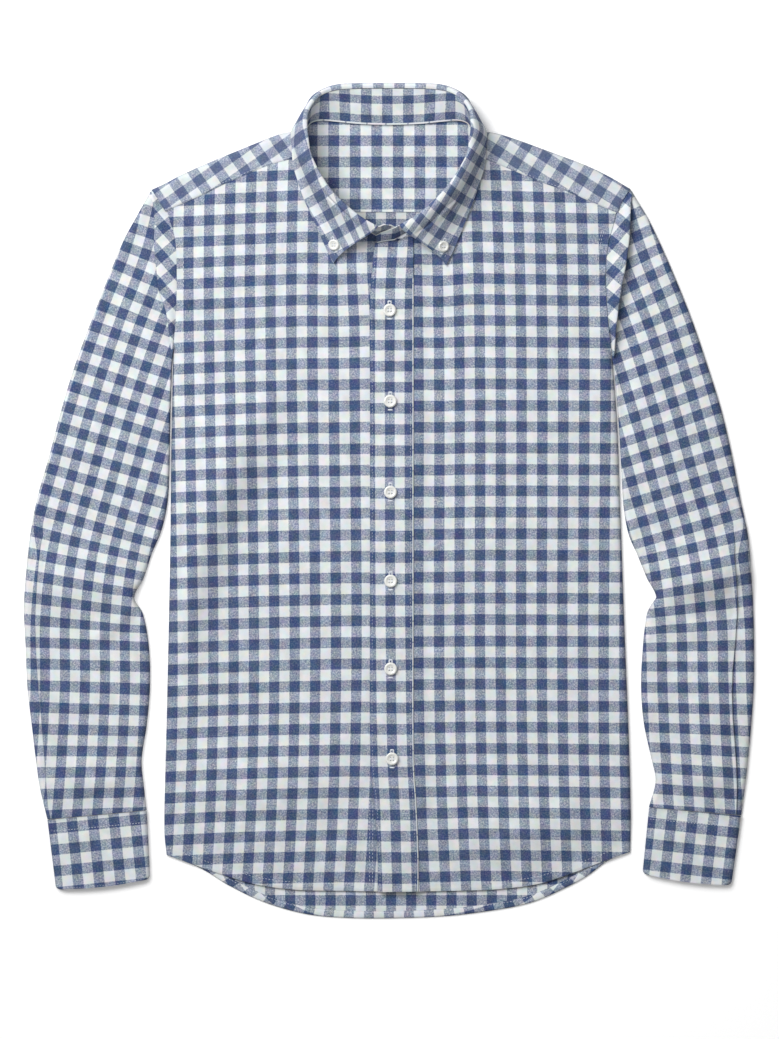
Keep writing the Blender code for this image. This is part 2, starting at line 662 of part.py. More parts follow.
def button(name, centre, normal, diameter, clearance=GAP):
    """A turned disc with a raised rim and four holes, lying square to the cloth below it."""
    radius = diameter / 2
    profile = [
        (0, BUTTON_HEIGHT - 0.7),
        (radius - 2.1, BUTTON_HEIGHT - 0.6),
        (radius - 1.4, BUTTON_HEIGHT - 0.05),
        (radius - 0.7, BUTTON_HEIGHT),
        (radius, BUTTON_HEIGHT - 0.9),
        (radius, 0.6),
        (radius - 0.7, 0),
        (0, 0),
    ]
    bm = bmesh.new()
    verts = [bm.verts.new((r * MM, 0, z * MM)) for r, z in profile]
    edges = [bm.edges.new(pair) for pair in zip(verts, verts[1:])]
    turn = {"cent": (0, 0, 0), "axis": (0, 0, 1), "angle": math.tau, "steps": BUTTON_STEPS}
    bmesh.ops.spin(bm, geom=verts + edges, use_merge=True, **turn)
    bmesh.ops.remove_doubles(bm, verts=bm.verts, dist=1e-6)
    bmesh.ops.recalc_face_normals(bm, faces=bm.faces)
    obj = add_object(name, bm, BUTTON_COLOUR, 0.25)
    holes = bmesh.new()
    spread = radius * HOLE_SPREAD
    hole = radius * HOLE_SHARE * MM
    for x, y in ((1, 1), (1, -1), (-1, 1), (-1, -1)):
        drill = {"segments": 6, "radius1": hole, "radius2": hole, "depth": 4 * BUTTON_HEIGHT * MM}
        made = bmesh.ops.create_cone(holes, cap_ends=True, **drill)
        bmesh.ops.translate(holes, vec=Vector((x * spread, y * spread, 0)) * MM, verts=made["verts"])
    mesh = bpy.data.meshes.new(f"{name}_holes")
    holes.to_mesh(mesh)
    holes.free()
    cutter = bpy.data.objects.new(f"{name}_holes", mesh)
    cutter.hide_render = True
    cutter.display_type = "WIRE"
    bpy.data.collections["cutters"].objects.link(cutter)
    cutter.parent = obj
    cut = obj.modifiers.new("holes", "BOOLEAN")
    cut.object = cutter
    obj.location = (Vector(centre) + Vector(normal) * (WALL / 2 + clearance)) * MM
    obj.rotation_mode = "QUATERNION"
    obj.rotation_quaternion = Vector((0, 0, 1)).rotation_difference(Vector(normal))


def on_leaf(leaf, x, y):
    """The point of the leaf's outer face nearest to x, y, and the leaf's normal there."""
    found = []
    for i in range(len(leaf) - 1):
        for j in range(6, len(leaf[0]) - 1):
            here = leaf[i][j]
            corners = (leaf[i + 1][j], leaf[i][j + 1], leaf[i + 1][j + 1])
            for a, b in ((u / 10, v / 10) for u in range(10) for v in range(10)):
                side = here.lerp(corners[0], a)
                point = side.lerp(corners[1].lerp(corners[2], a), b)
                off = math.hypot(point.x - x, point.y - y)
                found.append((off, point, corners[0] - here, corners[1] - here))
    _, point, run, fall = min(found, key=lambda one: one[0])
    normal = run.cross(fall).normalized()
    return point, normal if normal.z > 0 else -normal


def buttons(leaf):
    for number, (x, y) in enumerate(BUTTON_PLACES, 1):
        button(f"button_{number}", (x, y, placket_height(x, y)), (0, 0, 1), BUTTON_DIAMETER)
    for name, (x, y) in (("right", COLLAR_BUTTON_RIGHT), ("left", COLLAR_BUTTON_LEFT)):
        point, normal = on_leaf(leaf, x, y)
        button(f"collar_button_{name}", point, normal, COLLAR_BUTTON_DIAMETER, clearance=2 * GAP)


# ---------------------------------------------------------------- the shirt


def main():
    for obj in list(bpy.data.objects):
        bpy.data.objects.remove(obj)
    for name in ("shirt", "cutters"):
        bpy.context.scene.collection.children.link(bpy.data.collections.new(name))
    back_panel()
    fronts()
    placket()
    yoke()
    sleeve("sleeve_right", ARMHOLE_RIGHT, HEAD_FOLD_RIGHT, SLEEVE_RIGHT)
    sleeve("sleeve_left", ARMHOLE_LEFT, HEAD_FOLD_LEFT, SLEEVE_LEFT)
    cuff("cuff_right", CUFF_RIGHT)
    cuff("cuff_left", CUFF_LEFT)
    buttons(collar())


main()
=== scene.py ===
# %% [markdown]
# # A gingham shirt, laid flat
#
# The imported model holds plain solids: each panel, sleeve and collar layer is where it belongs, but it
# is coarse and has no cloth on it. This lesson dresses them. All numbers in the tables are
# millimetres in the frame of the solids: X runs to the wearer's left, Y towards the collar and Z up
# from the table.

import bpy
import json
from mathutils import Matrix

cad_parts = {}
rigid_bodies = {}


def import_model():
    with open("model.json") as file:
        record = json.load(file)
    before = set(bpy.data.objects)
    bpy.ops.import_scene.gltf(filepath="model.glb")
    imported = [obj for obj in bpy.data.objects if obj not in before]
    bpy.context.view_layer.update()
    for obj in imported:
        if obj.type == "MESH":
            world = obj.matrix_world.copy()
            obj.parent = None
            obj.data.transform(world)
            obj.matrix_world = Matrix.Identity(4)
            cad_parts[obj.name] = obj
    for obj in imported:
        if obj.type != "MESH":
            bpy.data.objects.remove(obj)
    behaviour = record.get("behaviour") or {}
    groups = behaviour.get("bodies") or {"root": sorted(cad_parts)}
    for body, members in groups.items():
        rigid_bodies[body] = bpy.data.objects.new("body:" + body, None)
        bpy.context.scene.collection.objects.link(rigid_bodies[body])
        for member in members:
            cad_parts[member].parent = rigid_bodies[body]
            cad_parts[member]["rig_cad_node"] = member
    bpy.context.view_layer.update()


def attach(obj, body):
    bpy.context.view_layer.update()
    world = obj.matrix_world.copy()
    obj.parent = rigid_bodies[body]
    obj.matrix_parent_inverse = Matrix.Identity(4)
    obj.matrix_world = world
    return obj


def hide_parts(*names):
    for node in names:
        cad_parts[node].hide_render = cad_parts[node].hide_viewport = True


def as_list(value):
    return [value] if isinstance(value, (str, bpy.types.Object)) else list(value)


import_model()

# %% Other modules and the unit
import json
import math

import bmesh
import bpy
import numpy as np
from mathutils import Matrix, Vector
from mathutils.bvhtree import BVHTree

MM = 0.001

# %% [markdown]
# ## Lines on the cloth
#
# A pattern cutter draws a shirt with smooth curves through a few measured points: side seam,
# armhole, hem, neckline. The same is done here. `along` reads a smooth curve through such points,
# and `chain` joins several of them end to end, corner by corner, as the outline of a panel does.


# %% Smooth outlines
def through(rows, knots, at):
    """A smooth curve through the rows, which sit at these knots, read at several places."""
    rows = np.array(rows, float)
    knots = np.array(knots, float)
    at = np.atleast_1d(np.array(at, float))
    last = len(rows) - 1
    before = np.maximum(np.arange(last + 1) - 1, 0)
    after = np.minimum(np.arange(last + 1) + 1, last)
    wide = (-1,) + (1,) * (rows.ndim - 1)
    slopes = (rows[after] - rows[before]) / (knots[after] - knots[before]).reshape(wide)
    i = np.clip(np.searchsorted(knots, at, side="right") - 1, 0, last - 1)
    span = (knots[i + 1] - knots[i]).reshape(wide)
    t = (at - knots[i]).reshape(wide) / span
    start = (1 + 2 * t) * (1 - t) ** 2
    bends = t * (1 - t) ** 2 * span * slopes[i] + t * t * (t - 1) * span * slopes[i + 1]
    return start * rows[i] + (1 - start) * rows[i + 1] + bends


def knots_of(points):
    """How far along a line each of its points is."""
    steps = np.linalg.norm(np.diff(np.array(points, float), axis=0), axis=1)
    return np.concatenate([[0], np.cumsum(steps)])


def along(points, shares):
    """The places at these shares, from 0 to 1, of an outline's length."""
    knots = knots_of(points)
    return through(points, knots, np.array(shares) * knots[-1])


def even(steps):
    return np.linspace(0, 1, steps + 1)


def chain(*parts):
    """Places along several outlines joined end to end. Each part is its points and its steps."""
    lines = [along(points, even(steps))[:-1] for points, steps in parts]
    return np.concatenate([*lines, [parts[-1][0][-1]]])


def ramp(value, start, end):
    """0 before start, 1 after end, and smooth in between."""
    t = np.clip((value - start) / (end - start), 0, 1)
    return t * t * (3 - 2 * t)


# %% Distance to a line
def nearest(line, x, y):
    """Of the nearest place on a line: how far off it is, on which side (1 is the left hand of
    someone who walks the line), and how far along the line it lies."""
    spots = np.stack([np.ravel(x), np.ravel(y)], 1)
    knots = knots_of(line)
    best = np.full(len(spots), np.inf)
    side = np.zeros(len(spots))
    gone = np.zeros(len(spots))
    for a, b, knot, after in zip(line, line[1:], knots, knots[1:]):
        step = b - a
        away = spots - a
        t = np.clip(away @ step / (step @ step), 0, 1)
        far = np.hypot(*(away - t[:, None] * step).T)
        closer = far < best
        best[closer] = far[closer]
        turn = step[0] * away[:, 1] - step[1] * away[:, 0]
        side[closer] = np.sign(turn)[closer]
        gone[closer] = (knot + t * (after - knot))[closer]
    return best.reshape(np.shape(x)), side.reshape(np.shape(x)), gone.reshape(np.shape(x))


def depth_inside(lines, x, y):
    """Distance to the nearest of several lines."""
    return np.min([nearest(line, x, y)[0] for line in lines], axis=0)


# %% [markdown]
# ## The outlines of the body
#
# These are the seams of this size of shirt as it lies: both side seams and armholes, the shoulder
# fold, the seam of the yoke on the chest, the curved hems, and the neckline. Right and left are the
# wearer's. The two sides differ by a few millimetres, because nobody lays a shirt out perfectly.

# %% Seams and edges
SIDE_RIGHT = [  # hem to underarm
    (-212.5, -339), (-214.5, -318), (-214, -270), (-211.5, -172), (-209, -48), (-208, 48), (-206, 147),
]
SIDE_LEFT = [(230.5, -336), (231, -300), (229, -224), (225, -124), (221, -10), (218, 72), (213, 140)]
ARMHOLE_RIGHT = [  # underarm to shoulder tip
    (-206, 147), (-203.5, 184), (-203, 221), (-204.5, 249), (-210, 268), (-218, 283), (-227, 297),
]
ARMHOLE_LEFT = [(213, 140), (208.5, 182), (207, 217), (209, 242), (214, 262), (222, 284), (230.5, 298)]
SHOULDER_RIGHT = [  # shoulder tip to neck
    (-227, 297), (-214, 303), (-197, 312), (-171, 323.5), (-144.5, 334.5), (-108, 349), (-96, 352),
    (-84, 351),
]
SHOULDER_LEFT = [
    (230.5, 298), (208, 311), (188, 320.5), (147, 336), (125, 344), (106, 350), (96, 352), (84, 351),
]
YOKE_SEAM_RIGHT = [  # armhole to neck
    (-214, 276.5), (-209, 279), (-175, 294), (-159, 302), (-129, 315), (-114, 321), (-94, 327), (-83.5, 331),
]
YOKE_SEAM_LEFT = [
    (218.5, 275), (208, 279.5), (188, 288), (169, 296), (144, 305), (125, 313), (93, 326), (83.5, 330),
]
HEM_RIGHT = [  # side seam to front edge
    (-212.5, -339), (-188, -348), (-147, -362), (-121, -368.5), (-85, -372.6), (-42, -373.4), (14, -374.5),
]
HEM_LEFT = [
    (230.5, -336), (203, -346), (171, -358), (142, -367), (102, -372), (77, -373), (29, -374),
    (-8.5, -374.5),
]
HEM_BACK = [  # right side seam to left side seam
    (-212.5, -339), (-188, -348), (-174, -355), (-155, -367), (-122, -383), (-86, -394), (-58, -398),
    (-9, -399.5), (58, -397), (111, -390), (137, -384), (159, -375), (188, -360), (210, -344), (230.5, -336),
]
NECKLINE_BACK = [  # right neck corner to left neck corner
    (-84, 351), (-79, 358), (-70, 362.5), (-40, 363.5), (0, 362.5), (40, 363.5), (70, 362.5), (79, 358),
    (84, 351),
]
NECKLINE_RIGHT = [  # front edge to yoke seam
    (14, 250.5), (2, 251), (-13, 255), (-36, 266.5), (-55, 283.5), (-71.5, 303), (-80.5, 321), (-83.5, 330.6),
]
NECKLINE_LEFT = [
    (-11, 246), (-1, 248), (9, 248.3), (20, 256), (37, 267), (55, 283.5), (71.5, 303), (80.5, 321),
    (83.5, 329.6),
]
YOKE_BACK_Y = 276.0  # seam between the yoke and the back panel
PLACKET_FREE = [  # from the hem up, at the opening
    (-10.6, -374.5), (-10.5, -340), (-13.5, -290), (-17.5, -250), (-17.9, -100), (-17.9, 100), (-18.3, 180),
    (-17.2, 207), (-14.9, 232), (-13, 246),
]
PLACKET_SEWN = [  # from the hem up, where it joins the left front
    (28, -374), (28, -340), (26, -290), (23.6, -250), (23.4, -100), (23.4, 100), (23.4, 257),
]
PLACKET_TOP = [(-13, 246), (-1, 247.8), (9, 248.2), (16, 253), (23.4, 257)]
FRONT_EDGE_RIGHT_X = 14.0
print("waist:", round(SIDE_LEFT[4][0] - SIDE_RIGHT[4][0]), "mm across, laid flat")

# %% [markdown]
# ## How high the cloth lies
#
# A laid shirt is two layers of cloth with air between them. The layer below is flat on the table.
# The layer above comes out of the fold at each side seam with a tight round, and then rises very
# slowly. At the shoulders the back of the yoke climbs over the collar's leaf, which lies below it.
# These heights are functions of X and Y, so that any grid can be raised by them.

# %% Heights of the two layers
THIN = 0.7  # one layer of the shown cloth
LAYER = 1.4  # from the middle of one layer to the middle of the next
GROUND = 0.36
FOLD_START = 0.75  # the upper layer over the lower one, right at a closed edge
FOLD_RISE = 1.34  # the same once the fold is left behind
EDGE_WIDTH = 4.0
EDGE_HEIGHT = 2.5
LEAF_RISE = 1.9
HEM_HEIGHT_SHARE = 0.35
HEM_REACH = 45.0
OVERLAP_RISE = 1.6  # the left front over the right one
OVERLAP_ENDS = (26.0, 40.0)
CROWN = 0.7  # slow rise of a panel towards its middle
CROWN_WIDTH = 40
LEAF_RISE_Y = (326, 345)  # the lower layer climbs over the collar's leaf between these
LEAF_RISE_X = (-132, -106)  # and these, on both sides

FINE = even(80)
CLOSED_EDGES = [along(line, FINE) for line in (SIDE_RIGHT, SIDE_LEFT, SHOULDER_RIGHT, SHOULDER_LEFT)]
FRONT_HEMS = [along(line, FINE) for line in (HEM_RIGHT, HEM_LEFT)]


def rounded(depth):
    """Height at this depth inside a closed edge, above the height at the edge itself."""
    t = np.minimum(depth / EDGE_WIDTH, 1)
    turn = (FOLD_RISE - FOLD_START) * ramp(depth, 0, EDGE_WIDTH)
    return EDGE_HEIGHT * np.sqrt(1 - (1 - t) ** 2) + turn + CROWN * (1 - np.exp(-depth / CROWN_WIDTH))


def under(x, y):
    """Middle of the layer on the table."""
    return GROUND + LEAF_RISE * ramp(y, *LEAF_RISE_Y) * ramp(-np.abs(x), *LEAF_RISE_X)


def lay(x, y):
    """Middle of the layer above it."""
    hem_share = HEM_HEIGHT_SHARE + (1 - HEM_HEIGHT_SHARE) * ramp(depth_inside(FRONT_HEMS, x, y), 0, HEM_REACH)
    return under(x, y) + FOLD_START + hem_share * rounded(depth_inside(CLOSED_EDGES, x, y))


def left_front_height(x, y):
    return lay(x, y) + OVERLAP_RISE * (1 - ramp(x, *OVERLAP_ENDS))


print("chest height:", round(float(lay(np.array(100.0), np.array(0.0))), 2), "mm")


# %% Soft creases
def crease(x, y, points, width, height, left_width=None):
    """A soft ridge along a line of points, or a valley where height is below 0. left_width is its
    width on the left hand of someone who walks the line, where that differs."""
    line = along(points, even(24))
    far, side, gone = nearest(line, x, y)
    share = gone / knots_of(line)[-1]
    reach = np.where(side > 0, left_width or width, width)
    return height * np.exp(-((far / reach) ** 2)) * np.sin(np.pi * np.clip(share, 0.02, 0.98)) ** 0.7


def creased(x, y, table):
    """The sum of a table of creases, each (points, width, height) and perhaps a left width."""
    total = np.zeros(np.shape(x))
    for row in table:
        total += crease(x, y, *row)
    return total


# %% [markdown]
# ## A sheet of cloth
#
# Every panel starts as a bmesh grid. Its points are then moved to the rows of places that the panel
# asks for, and each corner of each face gets a UV: not in metres but in repeats of the check, so
# that a white stripe runs wherever a coordinate is a whole number. Solidify then gives the sheet its
# thickness, and the result is kept as a plain mesh.

# %% Build a sheet
ROOT = "root"
SHARP_ANGLE = math.radians(50)
NO_PAINTED_DIMMING = (0, 0)  # share of the colour given over to painted shade, and how far from the middle of the shirt it starts
PAINTED_DIMMING_REACH = 8.0


def paint_shade_attributes(mesh, share, painted_dimming):
    """Attributes for the material: painted shade over the cloth's edges, and painted shade that dims a piece.
    """
    normals, places = np.empty((2, len(mesh.vertices) * 3), np.float32)
    mesh.vertices.foreach_get("normal", normals)
    mesh.vertices.foreach_get("co", places)
    painted_edge_tone = mesh.attributes.new("painted_edge_tone", "FLOAT", "POINT")
    painted_edge_tone.data.foreach_set("value", share * (1 - np.abs(normals[2::3])))
    dimming = mesh.attributes.new("painted_dimming", "FLOAT", "POINT")
    beyond = np.abs(places[::3]) / MM - painted_dimming[1]
    dimming.data.foreach_set("value", painted_dimming[0] * np.clip(beyond / PAINTED_DIMMING_REACH, 0, 1))


def finished(name, bm, material, wall=None, painted_edge_tone=1.0, painted_dimming=NO_PAINTED_DIMMING):
    """The bmesh as an object that rides on the shirt, with its thickness applied."""
    mesh = bpy.data.meshes.new(name)
    bm.to_mesh(mesh)
    bm.free()
    obj = bpy.data.objects.new(name, mesh)
    bpy.context.scene.collection.objects.link(obj)
    if wall:
        thick = obj.modifiers.new("wall", "SOLIDIFY")
        thick.thickness = wall * MM
        thick.offset = 0
        graph = bpy.context.evaluated_depsgraph_get()
        solid = bpy.data.meshes.new_from_object(obj.evaluated_get(graph))
        obj.modifiers.clear()
        obj.data = solid
        bpy.data.meshes.remove(mesh)
        mesh = solid
        mesh.name = name
        paint_shade_attributes(mesh, painted_edge_tone, painted_dimming)
    mesh.materials.clear()
    mesh.materials.append(material)
    mesh.polygons.foreach_set("use_smooth", [True] * len(mesh.polygons))
    mesh.set_sharp_from_angle(angle=SHARP_ANGLE)
    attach(obj, ROOT)
    return obj


def grid_faces(bm, spots, grain, closed=False):
    """A grid with its points at rows of places in millimetres and its UVs in repeats of the check."""
    rows, columns = spots.shape[:2]
    uv = bm.loops.layers.uv.get("cloth") or bm.loops.layers.uv.new("cloth")
    made = bmesh.ops.create_grid(bm, x_segments=columns - 1, y_segments=rows - 1, size=0.5)
    place = {}
    for vert in made["verts"]:
        place[vert] = (round((vert.co.y + 0.5) * (rows - 1)), round((vert.co.x + 0.5) * (columns - 1)))
    for face in {face for vert in made["verts"] for face in vert.link_faces}:
        for loop in face.loops:
            loop[uv].uv = grain[place[loop.vert]]
    for vert, at in place.items():
        vert.co = Vector(spots[at]) * MM
    if closed:
        bmesh.ops.remove_doubles(bm, verts=made["verts"], dist=1e-6)


def cloth(name, spots, grain, material, wall=THIN, closed=False, painted_edge_tone=1.0, painted_dimming=NO_PAINTED_DIMMING):
    bm = bmesh.new()
    grid_faces(bm, spots, grain, closed)
    bmesh.ops.recalc_face_normals(bm, faces=bm.faces)
    return finished(name, bm, material, wall, painted_edge_tone, painted_dimming)


def patch(bottom, top, start, end, across, up):
    """Rows of (x, y) that fill four outlines: bottom and top run across, start and end run up."""
    u = np.array(across)[None, :, None]
    v = np.array(up)[:, None, None]
    flat = (1 - v) * bottom[None] + v * top[None] + (1 - u) * start[:, None] + u * end[:, None]
    low = (1 - u) * bottom[0] + u * bottom[-1]
    high = (1 - u) * top[0] + u * top[-1]
    return flat - (1 - v) * low - v * high


def raised(flat, height):
    return np.concatenate([flat, height[..., None]], -1)


def shares_across(width, step, start=True, end=True):
    """Shares of a width about one step apart, and close together at a rounded edge."""
    near = np.array([0, 0.25, 0.7, 1.4, 2.4]) / width
    inner = np.linspace(EDGE_WIDTH / width * start, 1 - EDGE_WIDTH / width * end, round(width / step))
    parts = [near] * start + [inner] + [1 - near[::-1]] * end
    return np.unique(np.round(np.concatenate(parts), 6))


# %% [markdown]
# ## The yarns
#
# Gingham is a plain weave of two colours of yarn. Where blue warp crosses blue weft the square is
# dark, where white crosses white it is white, and where they mix every other crossing is blue, so
# the square is a heathered middle tone. The node group does just that: a stripe along each
# coordinate, a weave that lets one of the two show, and some noise for yarn that isn't evenly dyed.
# It puts out a colour and a height, and the material does the rest.

# %% Small helpers for node trees
def node(tree, kind, inputs=(), **settings):
    """A new node with its settings, and its inputs given by number or name."""
    made = tree.nodes.new(kind)
    for key, value in settings.items():
        setattr(made, key, value)
    for key, value in dict(inputs).items():
        if isinstance(value, bpy.types.NodeSocket):
            tree.links.new(value, made.inputs[key])
        else:
            made.inputs[key].default_value = value
    return made


def calculate(tree, operation, *values):
    return node(tree, "ShaderNodeMath", enumerate(values), operation=operation).outputs[0]


def vectors(tree, operation, *values):
    return node(tree, "ShaderNodeVectorMath", enumerate(values), operation=operation).outputs[0]


def noise(tree, place, scale, detail, more=()):
    settings = {"Vector": place, "Scale": scale, "Detail": detail, **dict(more)}
    return node(tree, "ShaderNodeTexNoise", settings).outputs


def about_zero(tree, value, amount):
    """A noise between 0 and 1, moved to lie about 0 and made this strong."""
    return calculate(tree, "MULTIPLY", calculate(tree, "SUBTRACT", value, 0.5), amount)


def ranged(tree, value, ends):
    return node(tree, "ShaderNodeMapRange", {"Value": value, **ends}).outputs["Result"]


def smooth_step(tree, value, low, high):
    settings = {"Value": value, "From Min": low, "From Max": high}
    made = node(tree, "ShaderNodeMapRange", settings, interpolation_type="SMOOTHSTEP")
    return made.outputs["Result"]


def mixed(tree, share, a, b):
    made = node(tree, "ShaderNodeMix", {0: share, 6: a, 7: b}, data_type="RGBA")
    return made.outputs[2]


# %% The gingham group
WOBBLE = 0.03  # in repeats, as the next two
STRIPE_EDGE = (0.235, 0.265)  # from the middle of a white stripe, where blue starts and is full
DYE_DRIFT = (0.36, 0.18, 0.32)  # how far the dye wanders in red, green and blue
WHITE_DRIFT = (0.045, 0.035, 0.06)
DARKEST = (0.008, 0.012, 0.03)


def gingham_group():
    tree = bpy.data.node_groups.new("gingham", "ShaderNodeTree")
    for name, kind, value in (
        ("Grain", "NodeSocketVector", None),
        ("White squares", "NodeSocketColor", (0.684, 0.712, 0.722, 1)),
        ("Middle squares", "NodeSocketColor", (0.257, 0.295, 0.380, 1)),
        ("Blue squares", "NodeSocketColor", (0.036, 0.063, 0.158, 1)),
        ("Yarns", "NodeSocketFloat", 44.0),
        ("Heather", "NodeSocketFloat", 1.25),
        ("Uneven dye", "NodeSocketFloat", 1.0),
    ):
        socket = tree.interface.new_socket(name, in_out="INPUT", socket_type=kind)
        if value is not None:
            socket.default_value = value
    tree.interface.new_socket("Color", in_out="OUTPUT", socket_type="NodeSocketColor")
    tree.interface.new_socket("Height", in_out="OUTPUT", socket_type="NodeSocketFloat")
    given = tree.nodes.new("NodeGroupInput").outputs
    split = node(tree, "ShaderNodeSeparateXYZ", {0: given["Grain"]})
    wobble = noise(tree, given["Grain"], 26.0, 2.0)
    stripes = []
    for axis in (0, 1):
        shifted = calculate(tree, "MULTIPLY_ADD", wobble["Fac"], WOBBLE, split.outputs[axis])
        part = calculate(tree, "FRACT", calculate(tree, "ADD", shifted, 100.5 - WOBBLE / 2))
        off = calculate(tree, "ABSOLUTE", calculate(tree, "SUBTRACT", part, 0.5))
        stripes.append(smooth_step(tree, off, *STRIPE_EDGE))
    yarn = [calculate(tree, "MULTIPLY", split.outputs[axis], given["Yarns"]) for axis in (0, 1)]
    whole = [calculate(tree, "FLOOR", one) for one in yarn]
    half = calculate(tree, "MULTIPLY", calculate(tree, "ADD", *whole), 0.5)
    crossing = calculate(tree, "FRACT", calculate(tree, "ADD", half, 500.0))
    over = calculate(tree, "GREATER_THAN", crossing, 0.25)
    both = calculate(tree, "MULTIPLY", *stripes)
    either = calculate(tree, "MAXIMUM", *stripes)
    one_only = calculate(tree, "SUBTRACT", either, both)
    speck = noise(tree, given["Grain"], 13.0, 4.0, {"Roughness": 0.75})
    fleck = about_zero(tree, speck["Fac"], given["Heather"])
    patchy = about_zero(tree, noise(tree, given["Grain"], 1.1, 3.0)["Fac"], given["Uneven dye"])
    weave = about_zero(tree, over, 0.2)
    heathered = calculate(tree, "ADD", weave, calculate(tree, "MULTIPLY", fleck, 1.6))
    middle = calculate(tree, "ADD", 0.51, heathered)
    middle = calculate(tree, "MULTIPLY_ADD", patchy, -0.2, middle)
    dark = calculate(tree, "ADD", 0.95, calculate(tree, "MULTIPLY", fleck, 0.6))
    mixed_squares = calculate(tree, "MULTIPLY", one_only, middle)
    blue = calculate(tree, "ADD", mixed_squares, calculate(tree, "MULTIPLY", both, dark))
    blue = calculate(tree, "ADD", blue, calculate(tree, "MULTIPLY", fleck, 0.1))
    to_middle = ranged(tree, blue, {"From Min": 0.0, "From Max": 0.5})
    to_blue = ranged(tree, blue, {"From Min": 0.5, "From Max": 1.0})
    colour = mixed(tree, to_middle, given["White squares"], given["Middle squares"])
    colour = mixed(tree, to_blue, colour, given["Blue squares"])
    dye = noise(tree, given["Grain"], 2.6, 2.0)
    off = vectors(tree, "SUBTRACT", dye["Color"], (0.5, 0.5, 0.5))
    amount = vectors(tree, "MULTIPLY", DYE_DRIFT, given["Uneven dye"])
    tint = vectors(tree, "MULTIPLY_ADD", off, amount, (1, 1, 1))
    depth = calculate(tree, "MULTIPLY_ADD", patchy, 0.32, 1.0)
    tint = vectors(tree, "MULTIPLY", tint, depth)
    colour = vectors(tree, "MULTIPLY", colour, tint)
    pale = vectors(tree, "MULTIPLY_ADD", off, WHITE_DRIFT, colour)
    colour = vectors(tree, "ADD", pale, calculate(tree, "MULTIPLY", patchy, 0.04))
    colour = vectors(tree, "MAXIMUM", colour, DARKEST)
    waves = [calculate(tree, "SINE", calculate(tree, "MULTIPLY", one, math.pi)) for one in yarn]
    rounds = [calculate(tree, "ABSOLUTE", wave) for wave in waves]
    height = node(tree, "ShaderNodeMix", {0: over, 2: rounds[0], 3: rounds[1]}).outputs[0]
    given_out = tree.nodes.new("NodeGroupOutput")
    tree.links.new(colour, given_out.inputs["Color"])
    tree.links.new(height, given_out.inputs["Height"])
    return tree


GINGHAM = gingham_group()
print("gingham group:", len(GINGHAM.nodes), "nodes")


# %% The cloth's own material
PAINTED_EDGE_SHADE = 0.6  # painted shade: the colour is darker where the cloth turns away from straight up, as over its edges
PAINTED_SHADE_COLOUR = (0.30, 0.34, 0.44, 1)  # painted shade: what the colours of the yoke's shoulders and of the collar leaf are dimmed towards


def cloth_material():
    made = bpy.data.materials.new("gingham_cloth")
    made.use_nodes = True
    tree = made.node_tree
    shader = tree.nodes["Principled BSDF"]
    uv = node(tree, "ShaderNodeUVMap", uv_map="cloth")
    check = node(tree, "ShaderNodeGroup", node_tree=GINGHAM)
    tree.links.new(uv.outputs["UV"], check.inputs["Grain"])
    weave = {"Height": check.outputs["Height"], "Strength": 0.25, "Distance": 0.0002}
    bump = node(tree, "ShaderNodeBump", weave)
    # painted shade: darker where the cloth turns away from straight up, as over its edges
    turned = node(tree, "ShaderNodeAttribute", attribute_name="painted_edge_tone")
    kept = calculate(tree, "MULTIPLY_ADD", turned.outputs["Fac"], -PAINTED_EDGE_SHADE, 1.0)
    colour = vectors(tree, "MULTIPLY", check.outputs["Color"], kept)
    # painted shade: dims the colours of the yoke's shoulders and of the collar leaf
    dimmed = node(tree, "ShaderNodeAttribute", attribute_name="painted_dimming")
    colour = mixed(tree, dimmed.outputs["Fac"], colour, PAINTED_SHADE_COLOUR)
    tree.links.new(colour, shader.inputs["Base Color"])
    tree.links.new(bump.outputs["Normal"], shader.inputs["Normal"])
    shader.inputs["Roughness"].default_value = 0.88
    shader.inputs["Specular IOR Level"].default_value = 0.2
    shader.inputs["Sheen Weight"].default_value = 0.08
    shader.inputs["Sheen Roughness"].default_value = 0.5
    return made


CLOTH = cloth_material()


# %% [markdown]
# ## Straight of grain
#
# Each panel is cut from the checked cloth by itself, so the stripes of two panels rarely meet.
# `planar` says how a flat panel was cut: where one white stripe crosses another, how wide a repeat
# is along each direction, and by how many degrees the panel is turned on the cloth.
#
# They are the CROSS, SIZE, GRAIN, SPINE, WEFT and CUT values below, but for BACK_SIZE, LEAF_SIZE
# and the STAND values, and the terms in grain_right and grain_left. No shape depends on them. A
# shirt of one's own needs one cross, size and turn a piece.

# %% Grain of a flat panel
def planar(x, y, cross, size, turn=0.0):
    """UV in repeats: white stripes cross at the place `cross`."""
    c, s = math.cos(math.radians(turn)), math.sin(math.radians(turn))
    right, up = x - cross[0], y - cross[1]
    return np.stack([(right * c + up * s) / size[0], (up * c - right * s) / size[1]], -1)


# %% [markdown]
# ## The back panel
#
# Most of the back is hidden. It shows through the neck, and below the front, where its hem hangs
# 25 mm lower. A shirt hem is turned up twice and stitched, so its inside shows a narrow band with
# the checks mirrored about the fold. The last rows of the grid make that turn.

# %% Back panel with its turned hem
BACK_CROSS = (-7.7, 274.5)
BACK_SIZE = (19.3, 20.22)
HEM_BAND = 6.0
HEM_TURN = (0.1, 0.5)  # the turned band took more cloth than it shows


